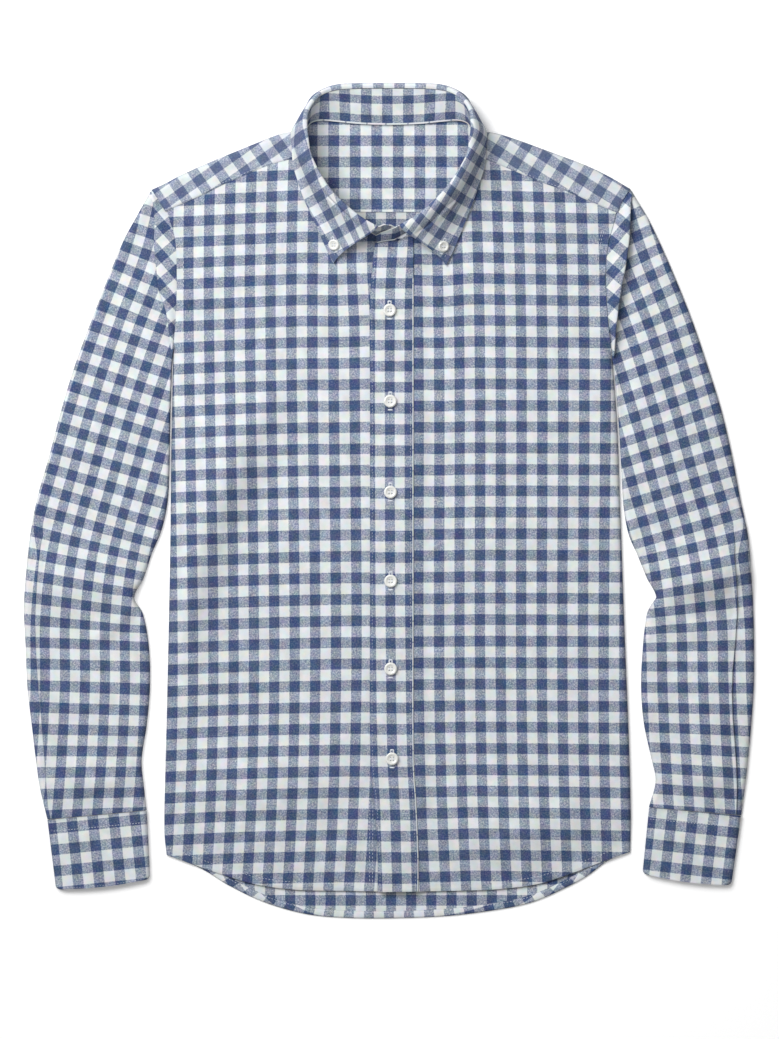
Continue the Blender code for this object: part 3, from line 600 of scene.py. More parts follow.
def back_panel():
    across = shares_across(430, 6)
    side_rows = 110
    start = chain((SIDE_RIGHT, side_rows), (ARMHOLE_RIGHT[:4], 20))
    end = chain((SIDE_LEFT, side_rows), (ARMHOLE_LEFT[:4], 20))
    start[-1] = (ARMHOLE_RIGHT[4][0], YOKE_BACK_Y + 2)
    end[-1] = (ARMHOLE_LEFT[4][0] + 3, YOKE_BACK_Y + 2)
    top = start[-1] + np.outer(across, end[-1] - start[-1])
    flat = patch(along(HEM_BACK, across), top, start, end, across, even(len(start) - 1))
    x, y = flat[..., 0], flat[..., 1]
    grain = planar(x, y, BACK_CROSS, BACK_SIZE)
    sheet = raised(flat, under(x, y))
    hem = sheet[:1]
    band = []
    band_grain = []
    run = np.gradient(hem[0, :, :2], axis=0)
    inward = np.stack([-run[:, 1], run[:, 0]], 1) / np.linalg.norm(run, axis=1)[:, None]
    turn = ((HEM_BAND + 0.4, 0.75), (HEM_BAND, 0.95), (HEM_BAND / 2, 1.0), (1.0, 1.0), (0.3, 0.8), (0, 0.4))
    for far, rise in turn:
        moved = hem[0].copy()
        moved[:, :2] += inward * far
        moved[:, 2] += rise
        band.append(moved)
        mirrored = hem[0, :, :2] - inward * far
        turned = planar(mirrored[:, 0], mirrored[:, 1], BACK_CROSS, BACK_SIZE)
        band_grain.append(turned + HEM_TURN)
    spots = np.concatenate([np.array(band), sheet])
    return cloth("back_panel", spots, np.concatenate([np.array(band_grain), grain]), CLOTH)


back = back_panel()
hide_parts("back")
print("back:", len(back.data.polygons), "faces")

# %% [markdown]
# ## The two fronts
#
# Each front is one grid from its side seam to its front edge, and from the hem to the yoke. The
# side seam is a fold of the laid shirt, so the columns crowd there to carry its round. At the yoke
# the front dips and runs on for a few millimetres under the yoke's turned edge.

# %% Right front
TUCK = 5.0  # how far a front runs on under the yoke
TUCK_DROP = 1.0


def front(name, side, armhole, seam, hem, neckline, edge, height, grain, folds):
    across = shares_across(228, 3, end=False)
    seam_line = along(seam, across)
    seam_share = np.linspace(0, 1, 400)
    arm = along(armhole, seam_share)
    reach = arm[arm[:, 1] < seam[0][1] - 1]
    start = chain((side, 160), (reach[::8], 45))
    end = chain((edge, 160), (neckline, 45))
    start[-1], end[-1] = seam[0], seam[-1]
    flat = patch(along(hem, across), seam_line, start, end, across, even(205))
    seam_dense = along(seam, even(60))
    order = np.argsort(seam_dense[:, 0])
    seam_y = np.interp(flat[..., 0], seam_dense[order, 0], seam_dense[order, 1])
    beyond = ramp(flat[..., 1] - seam_y, -14, 0)
    flat[..., 1] += beyond * TUCK
    x, y = flat[..., 0], flat[..., 1]
    z = height(x, y) - TUCK_DROP * ramp(y - seam_y, -1.0, 1.5)
    z += creased(x, y, folds) * ramp(depth_inside(CLOSED_EDGES, x, y), 0, 16)
    return cloth(name, raised(flat, z), grain(x, y), CLOTH)


BODY_FOLDS = [  # points, width, height and width on the left
    ([(-112, 118), (-136, 70), (-160, 18), (-182, -40), (-196, -105), (-200, -170)], 45, 9.0, 23),
    ([(-80, 80), (-108, 30), (-130, -30), (-146, -100)], 22, -1.2),
    ([(-188, -248), (-120, -268), (-40, -258)], 34, 4.0),
    ([(45, -300), (120, -312), (205, -292)], 30, 3.6),
    ([(60, 130), (130, 90), (200, 60)], 30, 1.4),
    ([(50, -60), (120, -20), (205, -30)], 26, 1.2),
    ([(-190, 235), (-150, 215), (-90, 180)], 26, 1.2),
    ([(203, 170), (208, 120), (211, 70), (214, 15)], 9, 2.2),
]


BESIDE_PLACKET = [  # Y, and how far the rows are drawn up on the right and on the left of it
    (250, -2.1, -3.3), (190, -1.9, -3.4), (145, -1.0, -1.8), (50, -1.0, -1.2),
    (-50, -0.3, -0.8), (-150, 0.3, -0.4), (-250, 0.4, -0.7), (-340, 0.7, -1.4),
]
LEANS_RIGHT = 0.2  # at the collar, the stripes of the right front lean away from the placket


def beside_placket(x, y, side):
    """How far the threads are drawn aside and up beside the placket, in repeats."""
    table = np.array(BESIDE_PLACKET[::-1], float)
    near = 1 - ramp(side * x, 45, 85)
    drawn = np.interp(y, table[:, 0], table[:, 1 if side < 0 else 2])
    return np.stack([-(0.4 if side < 0 else 0.7) * near / 19.5, drawn * near / 20.4], -1)


def grain_right(x, y):
    """Nearly straight: the rows rise towards the middle, and all threads wander a little."""
    a, b = (x + 110) / 100, y / 300
    u = 6.17 + 0.05105 * x + 0.00017 * y + 0.19 * b + 0.06 * b**2 - 0.26 * b**3 - 0.07 * a * b
    v = -0.98 + 0.0017 * x - 0.04874 * y + 0.05 * b - 0.09 * b**2 - 0.14 * b**3 + 0.06 * a * b
    grain = np.stack([u - 0.04 * (a * b**2 + a**2 + a**2 * b), v - 0.05 * a**2 + 0.04 * a**2 * b], -1)
    grain[..., 0] += LEANS_RIGHT * ramp(y, 155, 235) * (1 - ramp(-x, 28, 66))
    return grain + beside_placket(x, y, -1)


right_edge = [(FRONT_EDGE_RIGHT_X, HEM_RIGHT[-1][1]), (FRONT_EDGE_RIGHT_X, 0), NECKLINE_RIGHT[0]]
front_right = front(
    "front_right_cloth", SIDE_RIGHT, ARMHOLE_RIGHT, YOKE_SEAM_RIGHT, HEM_RIGHT, NECKLINE_RIGHT,
    right_edge, lay, grain_right, BODY_FOLDS,
)
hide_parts("front_right")


# %% Left front
def grain_left(x, y):
    a, b = (x - 110) / 100, y / 300
    u = -5.91 + 0.0506 * x + 0.0002 * y - 0.11 * b + 0.04 * b**2 + 0.23 * b**3 - 0.045 * a * b
    v = -1.025 - 0.00019 * x - 0.04887 * y + 0.03 * b - 0.14 * b**2 - 0.13 * b**3 - 0.05 * a * b
    grain = np.stack([u - 0.06 * a**2 * b - 0.035 * a**3, v - 0.08 * a * b**2 + 0.03 * a**2 * b], -1)
    return grain + beside_placket(x, y, 1)


left_edge = [(x + 1.2, y) for x, y in PLACKET_FREE[:-1]] + [NECKLINE_LEFT[0]]
front_left = front(
    "front_left_cloth", SIDE_LEFT, ARMHOLE_LEFT, YOKE_SEAM_LEFT, HEM_LEFT[:-1] + [left_edge[0]],
    NECKLINE_LEFT, left_edge, left_front_height, grain_left, BODY_FOLDS,
)
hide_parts("front_left")
print("fronts:", len(front_right.data.polygons), len(front_left.data.polygons), "faces")


# %% Placket
PLACKET_WIDTH = 40
PLACKET_CROSS_Y = 179.0
RIDGE = 0.8  # width of the pressed edge, and of the painted highlight along it
PLACKET_SIZE = (18.8, 20.35)
PLACKET_GRAIN = [  # Y; X of a white stripe; how far the rows lie above even spacing
    (-375, 17.3, -1.2), (-300, 15.4, -1.5), (-250, 12.7, -1.1), (-200, 11.7, -0.9), (-100, 10.7, 0.2),
    (0, 10.3, 0.8), (60, 10.2, 0.9), (150, 10.1, 0), (200, 10.5, -1.8), (225, 11.8, -2.4), (250, 13.5, -3),
]


def placket():
    edge = np.array([RIDGE + 0.15, RIDGE])
    across = np.unique(np.concatenate([shares_across(PLACKET_WIDTH, 2), 1 - edge / PLACKET_WIDTH]))
    up = even(250)
    bottom = PLACKET_FREE[0] + np.outer(across, np.subtract(PLACKET_SEWN[0], PLACKET_FREE[0]))
    sides = along(PLACKET_FREE, up), along(PLACKET_SEWN, up)
    flat = patch(bottom, along(PLACKET_TOP, across), *sides, across, up)
    x, y = flat[..., 0], flat[..., 1]
    depth = np.minimum(across, 1 - across)[None] * PLACKET_WIDTH + 0 * x
    z = left_front_height(x, y) + LAYER - 0.55 * (1 - np.sqrt(1 - (1 - np.minimum(depth / 1.6, 1)) ** 2))
    inside = (1 - across) * PLACKET_WIDTH
    z -= 0.35 * (1 - ramp(inside, RIDGE, 5)) - 0.25 * (1 - ramp(inside, 0.4, RIDGE + 0.6))
    table = np.array(PLACKET_GRAIN, float)
    stripe, slip = (np.interp(y, table[:, 0], table[:, i]) for i in (1, 2))
    grain = planar(x - stripe, y - slip, (0, PLACKET_CROSS_Y), PLACKET_SIZE)
    painted_edge_tone = (inside < RIDGE + 0.01) & (y < 212)  # painted highlight: the sewn edge's ridge is given white yarn
    grain[painted_edge_tone] = np.stack([0 * grain[painted_edge_tone][:, 0], np.round(grain[painted_edge_tone][:, 1])], -1)
    return cloth("placket_cloth", raised(flat, z), grain, CLOTH)


placket_piece = placket()
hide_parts("placket")


# %% [markdown]
# ## The yoke
#
# The yoke is the piece over the shoulders. Here it lies folded: its back part is below, with its
# inside showing in the neck, and its two ends turn over the shoulders to a seam on the chest. Three
# grids are welded along the two folds, so that the cloth runs on round them.

# %% Yoke
YOKE_BACK_CROSS = (-1.4, 293.6)
YOKE_BACK_SIZE = (20.6, 20.25)
YOKE_RIGHT_GRAIN = ((-151.1, 316.5), (20.6, 18.3), 35.0)
YOKE_LEFT_GRAIN = ((152.7, 315.2), (20.6, 19.4), -32.1)


def yoke_side(armhole, shoulder, seam, grain):
    """A strip from the shoulder fold down to the seam on the chest."""
    across = shares_across(160, 3, start=False, end=False)
    up = np.concatenate([np.linspace(0, 0.82, 12), [0.88, 0.93, 0.965, 0.985, 1]])
    dense = along(armhole, np.linspace(0, 1, 400))
    upper = dense[dense[:, 1] > seam[0][1]]
    start = along(np.concatenate([[seam[0]], upper[8:-8:12], [upper[-1]]]), up)
    end = along([seam[-1], shoulder[-1]], up)
    flat = patch(along(seam, across), along(shoulder, across), start, end, across, up)
    x, y = flat[..., 0], flat[..., 1]
    line = along(seam, even(60))
    off = nearest(line, x, y)[0]
    z = lay(x, y) + 0.35 * (1 - ramp(off, 0, 9)) - 0.3 * (1 - ramp(off, 0, 0.8))
    return raised(flat, z), planar(x, y, *grain)


def yoke():
    bm = bmesh.new()
    fold = []
    for armhole, shoulder, seam, grain in (
        (ARMHOLE_RIGHT, SHOULDER_RIGHT, YOKE_SEAM_RIGHT, YOKE_RIGHT_GRAIN),
        (ARMHOLE_LEFT, SHOULDER_LEFT, YOKE_SEAM_LEFT, YOKE_LEFT_GRAIN),
    ):
        spots, uv = yoke_side(armhole, shoulder, seam, grain)
        grid_faces(bm, spots, uv)
        fold.append(spots[-1])
    neck = along(NECKLINE_BACK, even(56))
    neck = raised(neck, under(neck[:, 0], neck[:, 1]))
    top = np.concatenate([fold[0], neck[1:-1], fold[1][::-1]])
    low = top.copy()
    low[:, 1] = YOKE_BACK_Y
    ends = along(ARMHOLE_RIGHT, 0.75)[0, 0] - 2, along(ARMHOLE_LEFT, 0.75)[0, 0] + 2
    low[:, 0] = np.interp(top[:, 0], (top[0, 0], top[-1, 0]), ends)
    rows = []
    for v in (0, 0.012, 0.04, 0.08, 0.12, 0.2, 0.3, 0.45, 0.6, 0.75, 0.86, 0.94, 0.985, 1):
        line = (1 - v) * low + v * top
        step = 0.75 * (1 - ramp(line[:, 1], YOKE_BACK_Y, YOKE_BACK_Y + 9))
        drop = np.clip((1 - v) / 0.06, 0, 1)
        flat = under(line[:, 0], line[:, 1]) + step
        line[:, 2] = np.where(np.abs(top[:, 0]) > 83.9, top[:, 2] * (1 - drop) + drop * flat, flat)
        rows.append(line)
    spots = np.array(rows)
    grid_faces(bm, spots, planar(spots[..., 0], spots[..., 1], YOKE_BACK_CROSS, YOKE_BACK_SIZE))
    bmesh.ops.remove_doubles(bm, verts=bm.verts, dist=5e-5)
    bmesh.ops.recalc_face_normals(bm, faces=bm.faces)
    # painted shade: the yoke's colours are dimmed beyond 78 mm from the middle, on the shoulders
    return finished("yoke_cloth", bm, CLOTH, THIN, painted_dimming=(0.14, 78))


yoke_piece = yoke()
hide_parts("yoke", "yoke_right", "yoke_left")

# %% [markdown]
# ## The sleeves
#
# A sleeve is a tube that lies flat: a layer above, a layer below, and a fold at each edge. It is
# lofted from sections, each from its inner to its outer edge. The threads follow the arm: `spine`
# is a line of warp that bends at the elbow, and the UV of a place is its distance from that line
# and how far down the line it is. Below the elbow the laid sleeve has a pressed tuck near its outer
# edge: the surface steps down there, and the cloth that the tuck hides is missing from the check.

# %% Sections of the sleeves
SLEEVE_RIGHT = [  # inner edge x, y; outer edge x, y; bow towards the shoulder; sag
    (-208, 128, -241, 272, -1, 1.2),
    (-208.4, 113, -254, 248, 3, 0.8),
    (-209.2, 92, -268, 214, 3, 0.3),
    (-209.8, 62, -284, 173, 2, 0),
    (-210.4, 28, -300, 130, 0, 0),
    (-212.5, -4, -314, 84, 0, 0),
    (-218.5, -30, -325.5, 40, 0, 0),
    (-227, -50, -335, 7, 0, 0),
    (-235, -74, -342.5, -30, 0, 0),
    (-244, -93, -347.5, -76, 0, 0.6),
    (-235.5, -109, -349, -104, 0, 0.2),
    (-230, -140, -347.3, -140, 0, 0),
    (-229, -178, -345.7, -178, 0, 0),
    (-232, -214, -341.7, -213, 0, 0),
    (-237, -248, -337.5, -248, 0, 0),
    (-235, -272, -333.8, -274, 0, 0),
    (-232.3, -296.3, -326.5, -305, 0, 0.6),
]
SLEEVE_LEFT = [
    (216, 122, 247, 271, 3, 1.2),
    (217.4, 107, 259, 246, 4, 0.8),
    (219.2, 86, 273, 214, 3, 0.3),
    (221, 58, 289, 174, 2, 0),
    (222.8, 26, 304, 130, 0, 0),
    (224.8, -6, 318, 85, 0, 0),
    (229.5, -32, 328.5, 40, 0, 0),
    (238, -52, 335.5, 3, 0, 0),
    (247, -74, 343.5, -36, 0, 0),
    (256, -92, 347.2, -80, 0, 0.6),
    (251.8, -99, 347.9, -94, 0, 0.4),
    (247.6, -107, 348.3, -106, 0, 0.2),
    (245.6, -118, 348.7, -118, 0, 0.1),
    (243.4, -138, 349, -138, 0, 0),
    (241.5, -176, 348.8, -176, 0, 0),
    (244, -212, 346.5, -212, 0, 0),
    (251, -245, 343.5, -246, 0, 0),
    (255.5, -268, 341, -269, 0, 0),
    (249, -293.5, 336.8, -301, 0, 0.6),
]
# Lines of warp down the sleeves, from the shoulder: x, y
SPINE_RIGHT = [
    (-215.5, 310), (-232, 240), (-258.5, 170), (-282, 100), (-302, 30), (-320.5, -40), (-329, -110),
    (-329.5, -180), (-333, -250), (-339, -320),
]
SPINE_LEFT = [
    (217, 310), (238.5, 240), (265, 170), (287, 100), (306.5, 30), (325.5, -40), (334.5, -110),
    (336.5, -180), (340, -250), (344.5, -320),
]
# A pressed tuck down each lower sleeve: its line, and how much cloth it hides
TUCK_RIGHT = (
    [
        (-333.7, -52), (-335.9, -75), (-337, -94), (-338, -114), (-337.5, -134), (-336.7, -153), (-335, -178),
        (-329.4, -243), (-326.2, -290), (-325, -306),
    ],
    10.2,
)
TUCK_LEFT = (
    [
        (329.5, -52), (332, -78), (332.9, -103), (331, -134), (328.3, -162), (327.6, -185), (328.3, -208),
        (330.2, -231), (331.8, -255), (332.5, -278), (331.8, -302),
    ],
    12.3,
)
SLEEVE_FOLDS_RIGHT = [
    ([(-236, -92), (-290, -80), (-346, -70)], 24, 6.5, 26),
    ([(-240, -98), (-270, -125), (-300, -140)], 7, 1.4),
    ([(-240, -262), (-285, -268), (-330, -270)], 20, 3.0, 15),
]
SLEEVE_FOLDS_LEFT = [
    ([(252, -84), (300, -74), (346, -58)], 23, 10.5, 28),
    ([(252, -98), (280, -118), (315, -128)], 7, 1.4),
    ([(318, -110), (314, -160), (314, -200), (317, -250), (317, -298)], 26, 3.4, 13),
    ([(260, -255), (295, -262), (335, -262)], 14, 2.2),
    ([(236, 262), (233, 222), (229, 180), (225, 140), (224, 100), (226, 55), (230, 0)], 10, -2.4),
]
SLEEVE_RIGHT_CUT = ((0.48, 0.80), (19.13, 20.4))
SLEEVE_LEFT_CUT = ((0.35, 0.60), (19.45, 20.35))
# Threads across the sleeves: how far down; slant; slip
WEFT_RIGHT = [
    (0, -0.10, -1.1), (80, -0.05, -0.9), (160, 0, -0.6), (240, -0.02, 0), (320, -0.02, 0.4),
    (400, -0.06, 0.8), (480, -0.04, 0.5), (560, 0.05, -0.8), (640, 0.16, -2.5),
]
WEFT_LEFT = [
    (0, 0.17, -2.2), (80, 0.11, -1.8), (160, 0.07, -1.2), (240, 0.08, 0), (320, 0.02, 0.9), (400, 0.065, 0.9),
    (480, -0.01, 0), (560, -0.11, -0.3), (640, -0.15, -0.6),
]


# %% Loft a sleeve
TUCK_SHARE = 0.875
TUCK_STARTS = (-15.0, -55.0)
TUCK_STEP = 1.0


def shares_of_sleeve():
    """Shares across a sleeve, with two close together where the tuck steps down."""
    return np.union1d(shares_across(110, 1.6), (TUCK_SHARE, TUCK_SHARE + 0.004))


def tuck_at(inner, outer, line):
    """Share of the way from the inner to the outer edge where a section crosses the tuck."""
    line = np.array(line[::-1], float)
    share = TUCK_SHARE
    for _ in range(6):
        y = inner[1] + share * (outer[1] - inner[1])
        share = (np.interp(y, line[:, 1], line[:, 0]) - inner[0]) / (outer[0] - inner[0])
    there = ramp(-outer[1], -TUCK_STARTS[0], -TUCK_STARTS[1])
    return (1 - there) * TUCK_SHARE + there * min(share, 0.965)


def sections(table, tuck=None):
    """Rings of places round a sleeve: over its upper layer from the inner edge, and back below."""
    table = np.array(table, float)
    middles = (table[:, 0:2] + table[:, 2:4]) / 2
    knots = knots_of(middles)
    rows = through(table, knots, np.linspace(0, knots[-1], round(knots[-1] / 3)))
    above = shares_of_sleeve() if tuck else shares_across(110, 2.6)
    turn = np.array([0.45, 1.3]) / 110
    below = np.concatenate([1 - turn, np.linspace(0.95, 0.05, 14), turn[::-1], [0]])
    rings = []
    for row in rows:
        inner, outer = row[0:2], row[2:4]
        width = np.linalg.norm(outer - inner)
        sideways = np.array((outer[1] - inner[1], inner[0] - outer[0])) / width
        sideways *= 1 if sideways[1] >= 0 else -1

        def places(shares):
            bow = np.outer(row[4] * 4 * shares * (1 - shares), sideways)
            return inner + np.outer(shares, outer - inner) + bow

        split = tuck_at(inner, outer, tuck[0]) if tuck else TUCK_SHARE
        spread = np.interp(above, (0, TUCK_SHARE, 1), (0, split, 1))
        depth = np.minimum(spread, 1 - spread) * width
        high = GROUND + FOLD_START + rounded(depth) - row[5] * ramp(depth, 0, 20)
        over = raised(places(spread), high)
        low = GROUND + 0.25 * (1 - ramp(np.minimum(below, 1 - below) * width, 0, 1.3))
        back = raised(places(below), low)
        back[-1] = over[0]
        rings.append(np.concatenate([over, back]))
    return np.array(rings), len(above)


def warp_grain(spine, start, size, weft, x, y):
    """UV of a place from a line of warp: how far beside it, and how far down it."""
    far, side, gone = nearest(along(spine, even(120)), x, y)
    beside = far * side
    slant, slip = (np.interp(gone, [row[0] for row in weft], [row[i] for row in weft]) for i in (1, 2))
    return np.stack([start[0] + beside / size[0], start[1] + (gone + slip + slant * beside) / size[1]], -1)


def head_rings(first, upper, armhole):
    """Rings from the armhole to the first section. They lie low, under the strip along the armhole."""
    width = np.linalg.norm(first[upper - 1, :2] - first[0, :2])
    inner = np.linalg.norm(first[:, :2] - first[0, :2], axis=1) / width
    seam = along(armhole, np.clip(inner, 0, 1))
    depth = np.minimum(inner, 1 - inner) * width
    low = 0.85 * ramp(depth, 0, 16) * (np.arange(len(first)) < upper)
    rings = []
    for share in np.linspace(0.06, 1, 12)[:-1]:
        ring = first.copy()
        ring[:, :2] = seam + (first[:, :2] - seam) * share
        ring[:, 2] -= low * (1 - ramp(share, 0.55, 1))
        rings.append(ring)
    return np.array(rings)


def sleeve(name, table, armhole, spine, cut, weft, folds, tuck):
    """The sleeve's cloth steps down at the tuck, and what the tuck hides is missing from the check."""
    rings, upper = sections(table, tuck)
    rings = np.concatenate([head_rings(rings[0], upper, armhole), rings])
    x, y = rings[..., 0], rings[..., 1]
    column = np.searchsorted(shares_of_sleeve(), TUCK_SHARE - 1e-6)
    there = ramp(-y[:, upper - 1], -TUCK_STARTS[0], -TUCK_STARTS[1])[:, None]
    depth = np.linalg.norm(rings[:, :, :2] - rings[:, column : column + 1, :2], axis=2)
    fold = creased(x, y, folds)
    fold[:, : column + 1] += (TUCK_STEP * 0.6 * np.exp(-((depth / 2.2) ** 2)) * there)[:, : column + 1]
    fold[:, column + 1 : upper] -= (TUCK_STEP * np.exp(-((depth / 9) ** 2)) * there)[:, column + 1 : upper]
    fold[:, upper:] = 0
    places = np.arange(len(x[0]))
    rings[..., 2] += fold * ramp(np.minimum(places, abs(upper - 1 - places)), 0, 3)
    grain = warp_grain(spine, *cut, weft, x, y)
    outwards = math.copysign(tuck[1], x[0, 0]) / cut[1][0]
    grain[:, column + 1 :, 0] += outwards * there
    return cloth(name, rings, grain, CLOTH, closed=True)


sleeve_right = sleeve(
    "sleeve_right_cloth", SLEEVE_RIGHT, ARMHOLE_RIGHT, SPINE_RIGHT, SLEEVE_RIGHT_CUT, WEFT_RIGHT,
    SLEEVE_FOLDS_RIGHT, TUCK_RIGHT,
)
sleeve_left = sleeve(
    "sleeve_left_cloth", SLEEVE_LEFT, ARMHOLE_LEFT, SPINE_LEFT, SLEEVE_LEFT_CUT, WEFT_LEFT,
    SLEEVE_FOLDS_LEFT, TUCK_LEFT,
)
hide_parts("sleeve_right")
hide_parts("sleeve_left")
print("sleeves:", len(sleeve_right.data.polygons), "faces each")

# %% [markdown]
# ## The fold at the sleeve head
#
# The top of a sleeve is wider than its armhole, and here the spare cloth lies pressed to one side:
# a strip along the armhole that turns under at its outer edge. It was cut on the bias by the curve
# of the sleeve head, so its checks stand on their corners. The strip is a thin folded tube of its
# own, tucked under the body at the seam.

# %% Strips along the armholes
HEAD_FOLD_RIGHT = [
    (-207.8, 142), (-213, 180), (-220, 202), (-222.5, 224), (-224.5, 245), (-224, 266), (-225.5, 284),
    (-229, 293),
]
HEAD_FOLD_LEFT = [
    (215.2, 135), (217.5, 168), (222, 202), (226, 223), (228.5, 240), (230.3, 258), (231, 279),
    (232.4, 294),
]
HEAD_RIGHT_GRAIN = ((-216.4, 247.6), (19.25, 19.75), 40.2)
HEAD_LEFT_GRAIN = ((213.9, 232.8), (20.85, 18.9), 49.8)


def head_strip(name, armhole, fold, grain, lift):
    """From under the body out to the fold, round it, and back beneath."""
    up = even(60)
    seam = along(armhole, up)
    edge = along(fold, up)
    way = edge - seam
    width = np.linalg.norm(way, axis=1)
    way = way / width[:, None]
    rows = []
    high = lay(*seam.T)
    drop = 0.55 * ramp(np.minimum(up, 1 - up), 0, 0.06)
    room = 0.1 + 0.9 * ramp(1 - up, 0, 0.14)  # the strip can't run under the body at the shoulder fold
    for part, turn, level in (
        (0, -4.0, -0.75), (0, -1.0, -0.75), (0, 0.5, -0.6), (0, 2.5, -0.3), (0.4, 0, -0.05), (0.75, 0, 0),
        (1, -1.2, 0), (1, -0.45, -0.1), (1, -0.1, -0.3), (1, 0, -0.55), (1, -0.1, -0.8), (1, -0.5, -0.98),
        (1, -1.4, -1.05), (0.6, 0, -1.05),
    ):
        moved = width * part + turn * (room if part == 0 and turn < 0 else 1)
        spot = seam + way * moved[:, None]
        stands = lift * (1 - (1 - part) ** 2) * np.sin(np.pi * np.clip(up, 0.02, 0.98)) ** 0.5
        rows.append(raised(spot, high + level + stands - drop * (part == 0) * (turn < 0)))
    spots = np.array(rows).transpose(1, 0, 2)
    # painted edge shade at half strength
    return cloth(name, spots, planar(spots[..., 0], spots[..., 1], *grain), CLOTH, painted_edge_tone=0.5)


head_right = head_strip("sleeve_right_head", ARMHOLE_RIGHT, HEAD_FOLD_RIGHT, HEAD_RIGHT_GRAIN, 1.2)
head_left = head_strip("sleeve_left_head", ARMHOLE_LEFT, HEAD_FOLD_LEFT, HEAD_LEFT_GRAIN, 4.2)
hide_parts("sleeve_right")
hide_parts("sleeve_left")

# %% [markdown]
# ## The cuffs
#
# A cuff is two layers of cloth with a stiffener, closed round the end of the sleeve. It lies flat
# like the sleeve, a little thicker, and its sewn top edge stands proud of it.

# %% Cuffs
CUFF_RIGHT = [(-232, -296.9, -326.3, -305.6), (-229, -362, -318, -372)]
CUFF_LEFT = [(249.3, -294, 336.6, -301.6), (243, -357, 327, -368)]
CUFF_RISE = 0.4
CUFF_LIFT = 0.15  # the thicker wall rests on the surface too
CUFF_CORNER = 4.0  # radius of the two lower corners
CUFF_BOW = 2.5
CUFF_RIGHT_GRAIN = ((-271.6, -318.9), (20.1, 20.4), 5.9)
CUFF_LEFT_GRAIN = ((298.0, -324.0), (19.9, 20.15), -6.7)


def cuff(name, ends, grain):
    top, foot = np.array(ends, float)
    table = [(*((1 - v) * top + v * foot), 0, 0) for v in (0, 0.5, 1)]
    rings, upper = sections(table)
    first, last = rings[0], rings[-1]
    share = np.concatenate([np.linspace(0, 0.93, 24), [0.945, 0.96, 0.973, 0.984, 0.992, 0.997, 1]])
    width = np.linalg.norm(foot[:2] - foot[2:])
    beside = np.linalg.norm(last[:, :2] - foot[:2], axis=1) / width
    corner = np.clip(CUFF_CORNER - (1 - share) * 66, 0, None)
    inset = (CUFF_CORNER - np.sqrt(CUFF_CORNER**2 - corner**2)) / width
    rings = first + (last - first) * share[:, None, None]
    inwards = (foot[2:] - foot[:2]) * (1 - 2 * beside)[:, None]
    rings[..., :2] += inwards * inset[:, None, None]
    rings[..., 1] -= CUFF_BOW * 4 * beside * (1 - beside) * share[:, None] ** 4
    step = 0.9 * np.exp(-(share * 66 / 2.0) ** 2) + 0.3 * np.exp(-((1 - share) * 66 / 2.5) ** 2)
    rings[..., 2] += CUFF_LIFT
    rings[:, :upper, 2] += CUFF_RISE - CUFF_LIFT
    rings[:, 4 : upper - 4, 2] += step[:, None] * 0.4
    x, y = rings[..., 0], rings[..., 1]
    return cloth(name, rings, planar(x, y, *grain), CLOTH, wall=1.0, closed=True)


cuff_right = cuff("cuff_right_cloth", CUFF_RIGHT, CUFF_RIGHT_GRAIN)
cuff_left = cuff("cuff_left_cloth", CUFF_LEFT, CUFF_LEFT_GRAIN)
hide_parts("cuff_right")
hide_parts("cuff_left")

# %% [markdown]
# ## The collar
#
# The stand rises from the neckline, and the leaf turns over its top edge and falls outwards, down
# to two buttoned points. Behind the neck the leaf is pressed flat on the table, below the yoke. A
# table of sections round the neck gives the seam, the inner edge of the fold and the free edge of
# the leaf, and each section is a curve from one to the next.

# %% Sections of the collar
COLLAR = [  # neck seam x, y, z; fold x, y, z; leaf edge x, y, z; reach; lie; lift
    (0, 359.4, 3.85, 0, 395.5, 12, 0, 351, 0.5, 3, 58, 0),
    (28, 360.2, 3.85, 28, 395.3, 12.5, 27, 351, 0.5, 3, 58, 0),
    (50, 362.3, 3.85, 51, 393.6, 14, 50, 351, 0.5, 3, 55, 0),
    (65, 363.5, 4.0, 64.5, 388.3, 17.5, 66.5, 352, 0.5, 3, 40, 0),
    (74, 361.5, 3.7, 72.5, 380, 21.5, 79, 355, 0.5, 4.5, 12, 0),
    (78.5, 356.5, 4.2, 76.8, 371.5, 25, 86.8, 358, 1.1, 4.5, 4, 0.5),
    (80, 352.5, 4.8, 78, 363, 27.2, 92.3, 354.6, 4.4, 5, 1, 6),
    (81, 347, 6, 78, 355.5, 28.6, 93.6, 348.5, 8.2, 6.5, -2, 6),
    (81.3, 339, 7, 76.8, 346, 29.4, 92.8, 340, 8.6, 7.5, -4, 4),
    (78.6, 322, 7.5, 74.5, 332, 30, 91.7, 322, 8.2, 8, -6, 3),
    (70, 304.5, 7.5, 68, 317, 30, 87.4, 306, 7.8, 8, -8, 2.5),
    (54, 285.5, 7.5, 57, 299, 29.4, 80.5, 286, 7.4, 8, -12, 2),
    (36, 269, 8, 40, 281.5, 28.2, 72, 264, 7, 8, -16, 1.5),
    (22, 259.3, 8.3, 25.5, 270, 27, 62.5, 243, 6.8, 7, -18, 1.2),
    (12, 253.2, 8.5, 10.6, 261.8, 26, 53.2, 226.5, 6.8, 6, -18, 1.2),
]
ROLL_TURN = 1.5
ROLL_STEP_LEFT = 1.8  # on the left the stand stands in from the roll
STRAIGHTER_RIGHT = 2.6  # the right leaf has a straighter outer edge
LONGER_LEFT = (1.3, -1.9)  # and the left leaf a longer point
ROLL_RADIUS = 2.5
BAND_END_LEFT = [  # neck seam x, y, z; free edge x, y, z
    (5, 249.2, 8.4, 6.8, 261.2, 21.5),
    (-2, 248.5, 8.4, -1.2, 258.0, 18.5),
    (-8, 247.4, 8.4, -7.6, 256.0, 16),
    (-11.4, 246.6, 9.4, -12.8, 253.2, 13.5),
]
BAND_END_RIGHT = [
    (-5, 253.8, 7.9, -5, 263.3, 24.5),
    (2, 253.2, 7.9, 2, 262.7, 23.5),
    (7, 253.6, 8.9, 7, 260.5, 19.0),
]


